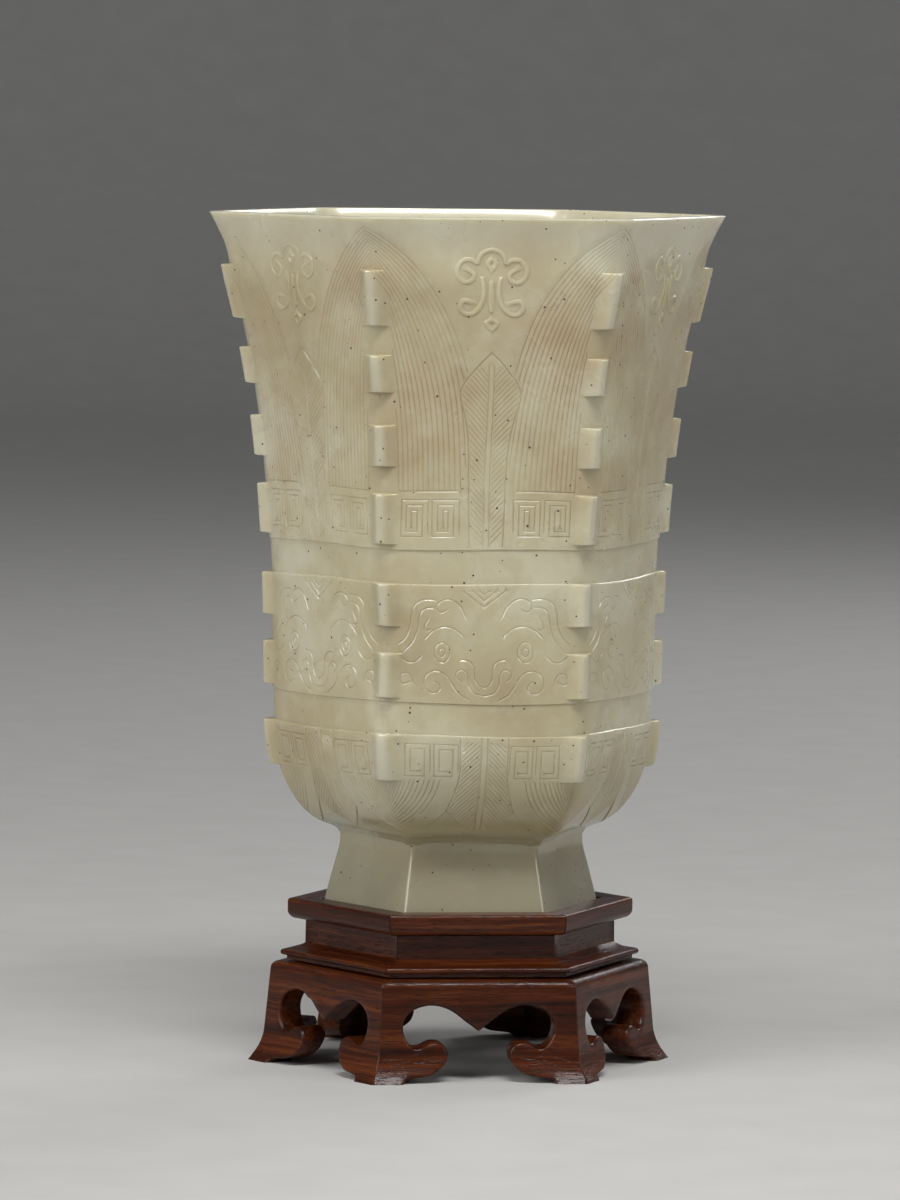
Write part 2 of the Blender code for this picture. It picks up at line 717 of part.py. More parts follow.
def make_apron(parts, guides, stand, material):
    widest = apron_face(0.0)
    panel = bpy.data.objects.new("apron_panel", mitred("apron_panel", apron_outline(), widest))
    guides.objects.link(panel)
    upright = Matrix.Translation((0, -APRON_APOTHEM, 0)) @ standing(0)
    boolean(panel, "DIFFERENCE", helper("apron_fret", solid_from(fret_curve(), upright), guides))
    mesh = mesh_of(panel)
    bpy.data.objects.remove(panel)
    round_the_stand("apron_panel", mesh, parts, stand, material)


clear_scene()
cup_and_stand = new_collection("jade_cup_on_stand")
cutters = new_collection("cutters")
jade = finish("celadon_jade", (0.52, 0.50, 0.40), 0.25)
rosewood = finish("dark_rosewood", (0.075, 0.028, 0.016), 0.35)
seat_wood = finish("seat_wood", (0.10, 0.042, 0.024), 0.55)

stand_base = bpy.data.objects.new("stand", None)
cup_and_stand.objects.link(stand_base)
make_cup(cup_and_stand, cutters, jade)
make_seat(cup_and_stand, cutters, stand_base, seat_wood)
make_frame(cup_and_stand, cutters, stand_base, rosewood)
waist = mitred("waist_rail", waist_outline(), NOSE_APOTHEM)
round_the_stand("waist_rail", waist, cup_and_stand, stand_base, rosewood)
make_apron(cup_and_stand, cutters, stand_base, rosewood)
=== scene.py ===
"""A six-sided jade beaker cup with toothed corner flanges, on its carved rosewood stand."""

import bmesh
import bpy
import numpy as np
from mathutils import Matrix
from mathutils.geometry import delaunay_2d_cdt


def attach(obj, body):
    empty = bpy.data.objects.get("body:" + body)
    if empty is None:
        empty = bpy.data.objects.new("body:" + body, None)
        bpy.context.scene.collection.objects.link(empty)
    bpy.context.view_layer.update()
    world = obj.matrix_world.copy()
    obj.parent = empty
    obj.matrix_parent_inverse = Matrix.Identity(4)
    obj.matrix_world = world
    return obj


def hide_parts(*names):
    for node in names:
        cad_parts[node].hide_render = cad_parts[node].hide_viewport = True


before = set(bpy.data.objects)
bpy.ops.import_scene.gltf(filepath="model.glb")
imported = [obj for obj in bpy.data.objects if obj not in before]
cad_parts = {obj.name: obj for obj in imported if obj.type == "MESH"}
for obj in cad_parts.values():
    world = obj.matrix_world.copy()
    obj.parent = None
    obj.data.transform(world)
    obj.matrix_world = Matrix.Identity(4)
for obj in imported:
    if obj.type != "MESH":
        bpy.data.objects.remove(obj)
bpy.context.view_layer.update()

# Seat panel: the loose hexagonal board that the cup stands on, tongued into the frame.
# Plain rosewood, planed and left unpolished, with its grain running from side to side.

MM = 0.001


def new_finish(name):
    """A Principled material: its shader, and a way to add a node with values or links in its inputs."""
    material = bpy.data.materials.new(name)
    material.use_nodes = True
    tree = material.node_tree

    def add(kind, inputs=(), **settings):
        """One node of a kind, with its settings and inputs."""
        node = tree.nodes.new("ShaderNode" + kind)
        for key, value in settings.items():
            setattr(node, key, value)
        join(node, inputs)
        return node

    def join(node, inputs):
        """Each input of a node takes a value, or a link from another node."""
        for key, value in dict(inputs).items():
            if isinstance(value, bpy.types.NodeSocket):
                tree.links.new(value, node.inputs[key])
            else:
                node.inputs[key].default_value = value

    return material, tree.nodes["Principled BSDF"], add, join


def tones(add, factor, stops):
    """A run of colours along a factor; each stop is a place from 0 to 1 and a colour."""
    ramp = add("ValToRGB", {"Fac": factor})
    while len(ramp.color_ramp.elements) < len(stops):
        ramp.color_ramp.elements.new(0.5)
    for element, (place, colour) in zip(ramp.color_ramp.elements, stops):
        element.position = place
        element.color = (*colour, 1)
    return ramp.outputs["Color"]


def mixed(add, factor, first, second, how="MIX"):
    """Two colours mixed by a factor; a plain colour is three numbers."""
    node = add("Mix", {0: factor}, data_type="RGBA", blend_type=how)
    for socket, colour in ((6, first), (7, second)):
        if isinstance(colour, bpy.types.NodeSocket):
            node.id_data.links.new(colour, node.inputs[socket])
        else:
            node.inputs[socket].default_value = (*colour, 1)
    return node.outputs[2]


def ranged(add, value, low, high, to_low=0.0, to_high=1.0):
    """A value taken from one range to another, and held at its ends."""
    inputs = {0: value, 1: low, 2: high, 3: to_low, 4: to_high}
    return add("MapRange", inputs, clamp=True).outputs[0]


def wood_finish(name, dark, middle, light, place, roughness, wax):
    """Rosewood: streaks 20 mm long and half a millimetre wide, short dark pores, a wax coat.

    Its pattern lies on the piece's own "grain" attribute, or else on Object coordinates."""
    wood, shader, add, join = new_finish(name)
    if place == "grain":
        spot = add("Attribute", attribute_name="grain").outputs["Vector"]
    else:
        spot = add("TexCoord").outputs["Object"]
    sway = add("TexNoise", {"Vector": spot, "Scale": 90.0, "Detail": 2.0})
    sway = add("VectorMath", {0: sway.outputs["Color"], 1: (0.0, 0.0011, 0.0011)}, operation="MULTIPLY")
    bent = add("VectorMath", {0: spot, 1: sway.outputs[0]}, operation="ADD").outputs[0]
    streak_spot = add("Mapping", {"Vector": bent, "Scale": (45.0, 1500.0, 1500.0)}).outputs[0]
    streaks = add("TexNoise", {"Vector": streak_spot, "Scale": 1.0, "Detail": 4.0, "Roughness": 0.65})
    band_spot = add("Mapping", {"Vector": bent, "Scale": (14.0, 330.0, 330.0)}).outputs[0]
    bands = add("TexNoise", {"Vector": band_spot, "Scale": 1.0, "Detail": 2.0})
    pore_spot = add("Mapping", {"Vector": bent, "Scale": (420.0, 7000.0, 7000.0)}).outputs[0]
    pores = add("TexNoise", {"Vector": pore_spot, "Scale": 1.0, "Detail": 1.0})
    pore = ranged(add, pores.outputs["Fac"], 0.60, 0.70)
    figure = add("Math", {0: streaks.outputs["Fac"], 1: 0.55}, operation="MULTIPLY").outputs[0]
    figure = add("Math", {0: bands.outputs["Fac"], 1: 0.55, 2: figure}, operation="MULTIPLY_ADD").outputs[0]
    colour = tones(add, figure, [(0.36, dark), (0.54, middle), (0.74, light)])
    colour = mixed(add, pore, colour, dark)
    dent = add("Math", {0: streaks.outputs["Fac"], 1: pore}, operation="SUBTRACT").outputs[0]
    bump = add("Bump", {"Height": dent, "Strength": 0.3, "Distance": 0.00014})
    gloss = ranged(add, figure, 0.3, 0.8, roughness + 0.06, roughness - 0.05)
    join(shader, {"Base Color": colour, "Roughness": gloss, "Normal": bump.outputs[0]})
    join(shader, {"Coat Weight": wax, "Coat Roughness": 0.18, "IOR": 1.5, "Specular IOR Level": 0.08})
    join(shader, {"Coat Normal": bump.outputs[0]})
    return wood


seat_wood = wood_finish(
    "seat_wood",
    dark=(0.022, 0.008, 0.004),
    middle=(0.085, 0.032, 0.016),
    light=(0.15, 0.065, 0.034),
    place="object",
    roughness=0.6,
    wax=0.0,
)
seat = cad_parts["seat_panel"]
seat.data.materials.clear()
seat.data.materials.append(seat_wood)

# Frame: six moulded rosewood rails mitred into a hexagon, with the seat panel in their groove.
# The top edge is softened, the fascia runs into an ovolo below, and all of it is waxed.

SIDES = 6
TURN = np.radians(360 / SIDES)
TAN_HALF = np.tan(TURN / 2)
SEAM, MITRE_DRAW = 0.07, 0.10
RAIL_STATIONS = 11
PLANK_STEP = np.array([83.0, 31.0, 17.0])
UP = np.array([0.0, 0.0, 1.0])
FRAME_LIP, FRAME_OUT, FRAME_LOW, FRAME_TOP = 21.60, 26.46, 24.90, 28.50
FRAME_EDGE, FRAME_INNER_EDGE, FRAME_OVOLO = 0.55, 0.25, 1.50
GROOVE_OUT, GROOVE_LOW, GROOVE_TOP = 23.10, 25.60, 27.20


def arc(out, up, radius, start, end, steps=7):
    """Points of a circular arc in a section, between two angles in degrees."""
    turn = np.radians(np.linspace(start, end, steps))
    return np.stack([out + radius * np.cos(turn), up + radius * np.sin(turn)], 1)


def side_frame(side):
    """Directions along and out of one side; side 1 faces the front and the rest follow to the right."""
    turn = -np.pi / 2 + TURN * (side - 1)
    return np.array([-np.sin(turn), np.cos(turn), 0]), np.array([np.cos(turn), np.sin(turn), 0])


def put_mesh(name, points, faces, finish, body, replaced, slot, sharp=30.0, **marks):
    """Points in millimetres and faces become one closed piece at the origin, its faces outwards.

    Each mark is an attribute: one number, or three, for each point."""
    mesh = bpy.data.meshes.new(name)
    mesh.from_pydata((np.asarray(points) * MM).tolist(), [], [list(face) for face in faces])
    work = bmesh.new()
    work.from_mesh(mesh)
    bmesh.ops.recalc_face_normals(work, faces=work.faces)
    work.to_mesh(mesh)
    work.free()
    for mark, values in marks.items():
        values = np.asarray(values, np.float32)
        kind, field = ("FLOAT", "value") if values.ndim == 1 else ("FLOAT_VECTOR", "vector")
        mesh.attributes.new(mark, kind, "POINT").data.foreach_set(field, values.ravel())
    mesh.shade_smooth()
    mesh.set_sharp_from_angle(angle=np.radians(sharp))
    mesh.materials.append(finish)
    piece = bpy.data.objects.new(name, mesh)
    bpy.context.scene.collection.objects.link(piece)
    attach(piece, body)
    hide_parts(replaced)
    return piece


def mitred_rail(section):
    """A section carried along one side: a point at apothem a runs to a tan 30 on either hand.

    The last ring at each end is drawn in a little, which leaves the fine line of the mitre."""
    reach = section[:, 0] * TAN_HALF - SEAM / 2
    along = np.linspace(-1, 1, RAIL_STATIONS)[:, None] * (reach - MITRE_DRAW)
    inwards = section.mean(0) - section
    drawn = section + MITRE_DRAW * inwards / np.linalg.norm(inwards, axis=1)[:, None]
    ends = drawn[:, 0] * TAN_HALF - SEAM / 2
    along = np.vstack([-ends, along, ends])
    rings = np.stack([drawn] + [section] * RAIL_STATIONS + [drawn])
    points = np.dstack([along, rings]).reshape(-1, 3)
    number = np.arange(len(along) * len(section)).reshape(len(along), len(section))
    onward = np.roll(number, -1, 1)
    quads = np.stack([number[:-1], onward[:-1], onward[1:], number[1:]], -1).reshape(-1, 4)
    return points, [*quads.tolist(), number[0].tolist(), number[-1].tolist()]


def round_the_stand(name, points, faces, finish):
    """Six like pieces, one to a side, each with its own place in the plank for its grain."""
    for side in range(1, SIDES + 1):
        along, out = side_frame(side)
        placed = points[:, :1] * along + points[:, 1:2] * out + points[:, 2:] * UP
        plank = (points[:, [0, 2, 1]] + PLANK_STEP * side) * MM
        piece = f"{name}_{side}"
        put_mesh(piece + "_wood", placed, faces, finish, "stand", piece, "dark_rosewood", grain=plank)


rosewood = wood_finish(
    "waxed_rosewood",
    dark=(0.010, 0.0022, 0.0009),
    middle=(0.050, 0.0098, 0.0022),
    light=(0.140, 0.035, 0.0083),
    place="grain",
    roughness=0.34,
    wax=0.34,
)
frame_section = np.vstack(
    [
        arc(FRAME_OUT - FRAME_OVOLO, FRAME_LOW + FRAME_OVOLO, FRAME_OVOLO, -90, 0, 9),
        arc(FRAME_OUT - FRAME_EDGE, FRAME_TOP - FRAME_EDGE, FRAME_EDGE, 0, 90),
        arc(FRAME_LIP + FRAME_INNER_EDGE, FRAME_TOP - FRAME_INNER_EDGE, FRAME_INNER_EDGE, 90, 180, 4),
        [(FRAME_LIP, GROOVE_TOP), (GROOVE_OUT, GROOVE_TOP), (GROOVE_OUT, GROOVE_LOW)],
        [(FRAME_LIP, GROOVE_LOW), (FRAME_LIP, FRAME_LOW)],
    ]
)
round_the_stand("frame_rail", *mitred_rail(frame_section), rosewood)

# Waist: six rails under the frame, moulded in one with the rounded nose that caps the apron.
# A narrow quirk parts the nose from the apron's shoulder; a skirt behind is glued to the apron.

WAIST_IN, WAIST_OUT, WAIST_LOW, WAIST_TOP = 20.01, 23.61, 17.80, 24.60
SKIRT_OUT, SKIRT_LOW = 24.71, 15.60
NOSE_OUT, NOSE_LOW, NOSE_HEIGHT = 27.51, 18.50, 1.00
QUIRK_OUT, CAVETTO_HEIGHT = 26.51, 1.20

nose_radius = NOSE_HEIGHT / 2
sweep = np.linspace(0, 1, 10)[1:, None]
cavetto_foot = np.array([NOSE_OUT - nose_radius, NOSE_LOW + NOSE_HEIGHT])
cavetto_reach = np.array([WAIST_OUT - NOSE_OUT + nose_radius, CAVETTO_HEIGHT])
cavetto = cavetto_foot + cavetto_reach * np.hstack([sweep, sweep**2])
waist_section = np.vstack(
    [
        [(WAIST_IN, SKIRT_LOW), (SKIRT_OUT, SKIRT_LOW), (SKIRT_OUT, WAIST_LOW)],
        [(QUIRK_OUT, WAIST_LOW), (QUIRK_OUT, NOSE_LOW)],
        arc(NOSE_OUT - nose_radius, NOSE_LOW + nose_radius, nose_radius, -90, 90, 9),
        cavetto,
        [(WAIST_OUT, WAIST_TOP), (WAIST_IN, WAIST_TOP)],
    ]
)
round_the_stand("waist_rail", *mitred_rail(waist_section), rosewood)

# Aprons: six thick rosewood boards mitred into a skirt, each fret-sawn with two arches, a
# pendant between them and two inward scroll feet, its edges rounded over and its foot flared.

APRON_OUT, APRON_THICK, SHOULDER_UP, SHOULDER_RADIUS = 29.01, 4.00, 16.10, 1.40
BATTER, FLARE, FLARE_UP = 0.085, 2.00, 5.50
EDGE_ROUND, MITRE_EASE, MITRE_SOFT, MITRE_FROM = 0.55, 0.14, 0.8, 13.2
SHOULDER_STEPS, TOP_STEP = 8, 1.4
ARCH_AND_SCROLL = (
    (0.0, 8.8), (2.2, 10.4), (4.15, 11.9), (6.05, 12.85), (8.36, 13.2), (10.6, 12.7),
    (12.2, 11.65), (12.97, 10.2), (12.97, 8.6), (12.5, 7.3), (11.7, 6.25), (10.8, 5.85),
    (9.8, 6.1), (8.65, 6.7), (7.5, 6.85), (6.2, 6.5), (5.35, 5.3), (5.5, 3.9),
    (6.2, 2.75), (7.6, 1.75), (8.9, 1.25), (11.2, 0.95), (12.6, 0.65), (13.1, 0.0),
)  # fmt: skip


def even_steps(path, step):
    """The same path with its points an equal distance apart."""
    run = np.concatenate([[0], np.cumsum(np.linalg.norm(np.diff(path, axis=0), axis=1))])
    at = np.linspace(0, run[-1], max(2, int(round(run[-1] / step)) + 1))
    return np.stack([np.interp(at, run, path[:, 0]), np.interp(at, run, path[:, 1])], 1)


def smooth_path(points, step):
    """A curve through the points: a cubic on each span, its slope at a point set by the two neighbours."""
    p = np.asarray(points, float)
    q = np.vstack([2 * p[0] - p[1], p, 2 * p[-1] - p[-2]])
    a, b, c, d = q[:-3], q[1:-2], q[2:-1], q[3:]
    t = np.linspace(0, 1, 12, endpoint=False)[:, None, None]
    spans = b + (c - a) * t / 2 + (a - 2.5 * b + 2 * c - d / 2) * t**2 + (3 * b - a - 3 * c + d) * t**3 / 2
    return even_steps(np.vstack([spans.transpose(1, 0, 2).reshape(-1, 2), p[-1]]), step)


def beside(path, gap):
    """The path moved to its left by a gap, square to itself, with its corners mitred."""
    way = np.diff(path, axis=0)
    way /= np.linalg.norm(way, axis=1)[:, None]
    left = np.stack([-way[:, 1], way[:, 0]], 1)
    joint = np.vstack([left[:1], left[:-1] + left[1:], left[-1:]])
    joint[1:-1] /= np.maximum(1 + (left[:-1] * left[1:]).sum(1), 0.4)[:, None]
    return path + gap * joint


def distance_to(path, points):
    """Least distance from each point to the spans of a path."""
    start, span = path[:-1], np.diff(path, axis=0)
    reach = points[:, None] - start
    share = np.clip((reach * span).sum(-1) / np.maximum((span * span).sum(-1), 1e-12), 0, 1)
    return np.linalg.norm(reach - share[..., None] * span, axis=-1).min(1)


def within(outline, points):
    """Which points lie inside a closed outline: a line to their right crosses it an odd number of times."""
    start, end = outline, np.roll(outline, -1, 0)
    spans = (start[:, 1] > points[:, 1:]) != (end[:, 1] > points[:, 1:])
    rise = np.where(end[:, 1] == start[:, 1], 1.0, end[:, 1] - start[:, 1])
    crossing = start[:, 0] + (points[:, 1:] - start[:, 1]) * (end[:, 0] - start[:, 0]) / rise
    return (spans & (points[:, :1] < crossing)).sum(1) % 2 == 1


def flat_sheet(outline, seams, grid, clear):
    """Flat triangles inside a closed outline: the seams become edges, and free points fill the rest."""
    paths = [np.vstack([outline, outline[:1]]), *seams]
    fixed = np.vstack(paths)
    ends = np.cumsum([len(path) for path in paths])
    spans = np.stack([np.arange(len(fixed) - 1), np.arange(1, len(fixed))], 1)
    spans = np.delete(spans, ends[:-1] - 1, axis=0)
    low, high = fixed.min(0), fixed.max(0)
    across, up = np.meshgrid(np.arange(low[0], high[0], grid), np.arange(low[1], high[1], grid * 0.87))
    across[::2] += grid / 2
    free = np.stack([across.ravel(), up.ravel()], 1)
    nearest = [np.linalg.norm(part[:, None] - fixed, axis=-1).min(1) for part in np.array_split(free, 40)]
    free = free[np.concatenate(nearest) > clear]
    found = delaunay_2d_cdt(np.vstack([fixed, free]).tolist(), spans.tolist(), [], 0, 1e-4, False)
    points, faces = np.array([tuple(point) for point in found[0]]), np.array(found[2])
    faces = faces[within(outline, points[faces].mean(1))]
    used, faces = np.unique(faces, return_inverse=True)
    return points[used], faces.reshape(-1, 3)


def rim_of(faces):
    """The sheet's border, as directed edges that only one triangle has."""
    edges = np.vstack([faces[:, [0, 1]], faces[:, [1, 2]], faces[:, [2, 0]]])
    key = np.sort(edges, 1)
    _, first, count = np.unique(key, axis=0, return_index=True, return_counts=True)
    return edges[first[count == 1]]


def apron_face(rise):
    """Out and up of the face: battered, flared as a square to the foot, rolled over at the shoulder."""
    roll = np.clip((rise - SHOULDER_UP) / SHOULDER_RADIUS, 0, np.pi / 2)
    up = np.minimum(rise, SHOULDER_UP)
    out = APRON_OUT + BATTER * (SHOULDER_UP - up) + FLARE * np.clip(1 - up / FLARE_UP, 0, 1) ** 2
    return out - SHOULDER_RADIUS * (1 - np.cos(roll)), up + SHOULDER_RADIUS * np.sin(roll)


apron_rise = SHOULDER_UP + SHOULDER_RADIUS * np.pi / 2
shoulder_rise = np.linspace(SHOULDER_UP, apron_rise, SHOULDER_STEPS)
side_rise = np.concatenate([np.linspace(0, SHOULDER_UP, 20), shoulder_rise[1:]])
side_edge = np.stack([apron_face(side_rise)[0] * TAN_HALF - SEAM / 2, side_rise], 1)
fret_edge = smooth_path(ARCH_AND_SCROLL, 0.42)
sole = even_steps(np.array([fret_edge[-1], side_edge[0]]), 0.5)
top_edge = even_steps(np.array([side_edge[-1], (0.0, apron_rise)]), TOP_STEP)
half_outline = np.vstack([fret_edge, sole[1:], side_edge[1:], top_edge[1:]])
flip = np.array([-1.0, 1.0])
outline = np.vstack([half_outline, half_outline[-2:0:-1] * flip])
seams = []
for gap in (0.06, 0.16, 0.32, EDGE_ROUND):
    seam = beside(fret_edge, gap)
    seam = seam[(seam[:, 0] > gap) & (seam[:, 1] > 0.02)]
    seams += [seam, seam * flip]
for rise in shoulder_rise[:-1]:
    reach = apron_face(rise)[0] * TAN_HALF - SEAM / 2
    seams.append(even_steps(np.array([(-reach, rise), (reach, rise)]), TOP_STEP))
mitre_seam = side_edge[1:-1] - np.array([MITRE_EASE, 0.0])
seams += [mitre_seam, mitre_seam * flip]
flat, apron_faces = flat_sheet(outline, seams, grid=0.9, clear=0.35)

whole_fret = np.vstack([fret_edge[::-1] * flip, fret_edge[1:]])
to_edge = np.clip(distance_to(whole_fret, flat), 0, EDGE_ROUND)
rounded = EDGE_ROUND - np.sqrt(EDGE_ROUND**2 - (EDGE_ROUND - to_edge) ** 2)
full_out, face_up = apron_face(flat[:, 1])
to_side = np.abs(flat[:, 0])
to_mitre = full_out * TAN_HALF - SEAM / 2 - to_side
face_out = full_out - rounded - np.clip(MITRE_EASE - to_mitre, 0, MITRE_EASE) * MITRE_SOFT
inside_out = APRON_OUT - APRON_THICK + FLARE * np.clip(1 - face_up / FLARE_UP, 0, 1)
mitre_share = np.clip((to_side - MITRE_FROM) / (to_side + to_mitre - MITRE_FROM), 0, 1)
inside_across = flat[:, 0] - np.sign(flat[:, 0]) * mitre_share * (full_out - inside_out) * TAN_HALF
front = np.stack([flat[:, 0], face_out, face_up], 1)
inside = np.stack([inside_across, inside_out, face_up], 1)
border = rim_of(apron_faces)
count = len(flat)
walls = np.stack([border[:, 1], border[:, 0], border[:, 0] + count, border[:, 1] + count], 1)
board = [*apron_faces.tolist(), *(apron_faces[:, ::-1] + count).tolist(), *walls.tolist()]
round_the_stand("apron_panel", np.vstack([front, inside]), board, rosewood)

# Cup: one piece of celadon jade, hollowed and ground with wheels, standing loose on the seat.
# Plantain leaves, square frets and a scroll mask are cut into its sides, toothed flanges left
# on its six corners, and the plain bands between are ground a little lower.

CUP_LOW, FOOT_TALL, NECK_TALL, BOWL_DEEP, WALL_TALL = 27.55, 10.7, 2.8, 19.0, 88.6
FOOT_WIDE, NECK_WIDE, BELLY_WIDE, RIM_WIDE = 24.25, 21.45, 33.45, 44.95
STRAIGHT_FLARE, BELLY_ROUND, RIM_ROUND = 0.10, 0.12, 0.02
FOOT_SOFT, BELLY_SOFT, RIM_SOFT = np.radians((1.0, 6.5, 2.2))
LIP_OUT, LIP_REACH, HOLLOW_DEEP, HOLLOW_UP, HOLLOW_REACH = 0.55, 1.8, 0.55, 142.5, 3.2
RIM_WALL, BELLY_WALL, FLOOR_THICK, LIP = 1.7, 3.4, 8.8, 0.5
FOOT_RING, FOOT_RECESS = 4.5, 5.0
BELLY_UP = CUP_LOW + FOOT_TALL + NECK_TALL + BOWL_DEEP
RIM_UP = BELLY_UP + WALL_TALL
FLOOR_UP = CUP_LOW + FOOT_TALL + FLOOR_THICK

TEETH = (
    (139.5, 129.8), (125.0, 118.5), (113.2, 106.0), (101.5, 92.7),
    (86.1, 78.5), (74.0, 66.1), (60.0, 51.8),
)  # fmt: skip
TOOTH_HALF, TOOTH_ROOT, TOOTH_PROUD, TOOTH_END, TOOTH_CROWN = 0.4, 3.2, 1.6, 0.4, 0.10
BANDS = ((91.9, 86.0), (65.5, 59.9))
BAND_DEEP, BAND_EDGE = 0.24, 0.14
TIP_DEEP, TIP_EDGE, TIP_FADE_FROM, TIP_FADE_OVER = 0.14, 0.34, 33.0, 6.0
WELD = 2e-3


def plain_radius(up):
    """Corner radius: straight foot, then a quarter ellipse to the belly, then a cubic flare to the rim."""
    foot = np.clip((up - CUP_LOW) / FOOT_TALL, 0, 1)
    below = np.clip((BELLY_UP - up) / BOWL_DEEP, 0, 1)
    rise = np.clip((up - BELLY_UP) / WALL_TALL, 0, 1)
    bowl = (BELLY_WIDE - NECK_WIDE) * np.sqrt(1 - below**2)
    flare = (RIM_WIDE - BELLY_WIDE) * (STRAIGHT_FLARE * rise + (1 - STRAIGHT_FLARE) * rise**3)
    return FOOT_WIDE + (NECK_WIDE - FOOT_WIDE) * foot + bowl + flare


def outer_radius(up):
    """The plain radius, with a shallow bell-shaped hollow under the rim and the edge above turned out."""
    hollow = HOLLOW_DEEP * np.exp(-(((up - HOLLOW_UP) / HOLLOW_REACH) ** 2))
    return plain_radius(up) + LIP_OUT * np.exp((up - RIM_UP) / LIP_REACH) - hollow


def section_radius(corner, up, turn):
    """Radius at an angle from the middle of a side: a hexagon swelled a little towards a circle.

    Its corners are rounded by never letting the angle to the corner fall under the soft angle."""
    heights = (CUP_LOW + FOOT_TALL, BELLY_UP, RIM_UP - 20.0, RIM_UP)
    swell = np.interp(up, heights, (0, BELLY_ROUND, BELLY_ROUND / 2, RIM_ROUND))
    soft = np.interp(up, heights, (FOOT_SOFT, BELLY_SOFT, BELLY_SOFT, RIM_SOFT))
    off = np.abs(TURN / 2 - np.abs(turn))
    eased = np.sqrt(off**2 + soft**2 * np.clip(1 - off / (TURN / 2), 0, 1))
    flat_side, at_corner = (np.cos(TURN / 2) / np.cos(TURN / 2 - away) for away in (eased, soft))
    return corner * (flat_side + swell * (1 - flat_side)) / (at_corner + swell * (1 - at_corner))


# The profile's heights and radii against the length run along it, its neck softened as ground.
PROFILE_STEP, SOFTEN, KEPT = 0.1, 41, 24
neck_fine = BELLY_UP - BOWL_DEEP + np.linspace(0, 1.2, 160) ** 2
fine = np.sort(np.concatenate([np.linspace(CUP_LOW, RIM_UP - LIP, 900), neck_fine]))
profile = even_steps(np.stack([outer_radius(fine), fine], 1), PROFILE_STEP)
soften = np.ones(SOFTEN) / SOFTEN
ends = [np.repeat(end, SOFTEN // 2, 0) for end in (profile[:1], profile[-1:])]
padded = np.vstack([ends[0], profile, ends[1]])
eased = np.stack([np.convolve(padded[:, axis], soften, "valid") for axis in (0, 1)], 1)
profile[KEPT:-KEPT] = eased[KEPT:-KEPT]
run = np.concatenate([[0], np.cumsum(np.linalg.norm(np.diff(profile, axis=0), axis=1))])


def run_at(up):
    """Length along the profile at a height."""
    return np.interp(up, profile[:, 1], run)


def up_at(at):
    """Height at a length along the profile."""
    return np.interp(at, run, profile[:, 1])


def corner_at(at):
    """Distance from the middle of a side to its corner, at a length along the profile."""
    return np.interp(at, run, profile[:, 0]) / 2


def on_side(points):
    """Drawn points, across and up in millimetres, as points of the sheet, held between middle and corner."""
    points = np.asarray(points, float)
    at = run_at(points[:, 1])
    return np.stack([np.clip(points[:, 0], 0, corner_at(at)), at], 1)


def from_corner(gap, up):
    """Sheet points at a distance from the corner."""
    at = run_at(np.asarray(up, float))
    return np.stack([np.clip(corner_at(at) - gap, 0, None), at], 1)


cuts, cords = [], []


def cut(path, half=0.19, deep=0.12, dirty=1.0):
    """A V-shaped wheel cut along a path: its half width, its depth, and how much dirt it holds."""
    cuts.append((path, half, deep, dirty))


def cord(path, half, high):
    """A half-round cord left standing along a path: its half width and its height."""
    cords.append((path, half, high))


def straight(points, step=1.6):
    """A path of straight spans, each divided into equal steps, with its corners kept."""
    spans = [even_steps(np.array(pair, float), step) for pair in zip(points[:-1], points[1:])]
    return np.vstack([spans[0]] + [span[1:] for span in spans[1:]])


# Small leaf up the middle of each side: edge, double midrib, and veins that rise from it.
SPRAY_TIP, SPRAY_FOOT, MIDRIB = 125.8, 92.4, 0.42
SPRAY = (
    (2.6, SPRAY_FOOT), (3.0, 106.0), (3.5, 111.5), (4.2, 115.0),
    (4.95, 117.6), (4.8, 119.6), (2.8, 122.6), (0.0, SPRAY_TIP),
)  # fmt: skip
VEIN_STEP, VEIN_ACROSS, VEIN_RISE, VEIN_BEND = 1.0, 4.4, 5.6, 0.7
spray_edge = smooth_path(SPRAY, 0.5)


def spray_half(up):
    """Half width of the small leaf, read off its drawn edge."""
    return np.interp(up, spray_edge[:, 1], spray_edge[:, 0])


cut(even_steps(on_side(spray_edge), 0.9), 0.19, 0.11)
cut(even_steps(on_side([(MIDRIB, SPRAY_TIP - 2.2), (MIDRIB, SPRAY_FOOT)]), 1.6), 0.16, 0.08, 0.8)
for start in np.arange(SPRAY_FOOT + 0.4, SPRAY_TIP - 3.4, VEIN_STEP):
    vein = np.linspace(0, 1, 24)
    rising = start + VEIN_RISE * vein - VEIN_BEND * vein**2
    path = np.stack([MIDRIB + 0.2 + VEIN_ACROSS * vein, rising], 1)
    path = path[path[:, 0] < spray_half(path[:, 1]) - 0.15]
    if len(path) > 4:
        cut(even_steps(on_side(path), 1.2), 0.15, 0.06, 0.8)

# Great plantain leaf on each corner: cuts that leave the corner under the rim and settle upright.
LEAF_TIP, LEAF_FOOT, LEAF_WIDE, LEAF_BEND = 147.0, 101.9, 16.2, 9.5
LEAF_CUTS, LEAF_INNER, LEAF_NEST = 16, 0.2, 12.5
for share in np.linspace(LEAF_INNER, 1.0, LEAF_CUTS):
    tip = LEAF_TIP - LEAF_NEST * (1 - share)
    up = np.linspace(tip, LEAF_FOOT, 60)
    away = LEAF_WIDE * share * (1 - np.exp((up - tip) / LEAF_BEND))
    path = from_corner(away, up)
    beside_teeth = (away > TOOTH_ROOT - 0.3) | (up > TEETH[0][0] + 0.5)
    path = path[beside_teeth & (path[:, 0] > spray_half(up) + 0.5)]
    cut(even_steps(path, 1.3), 0.16, 0.07)

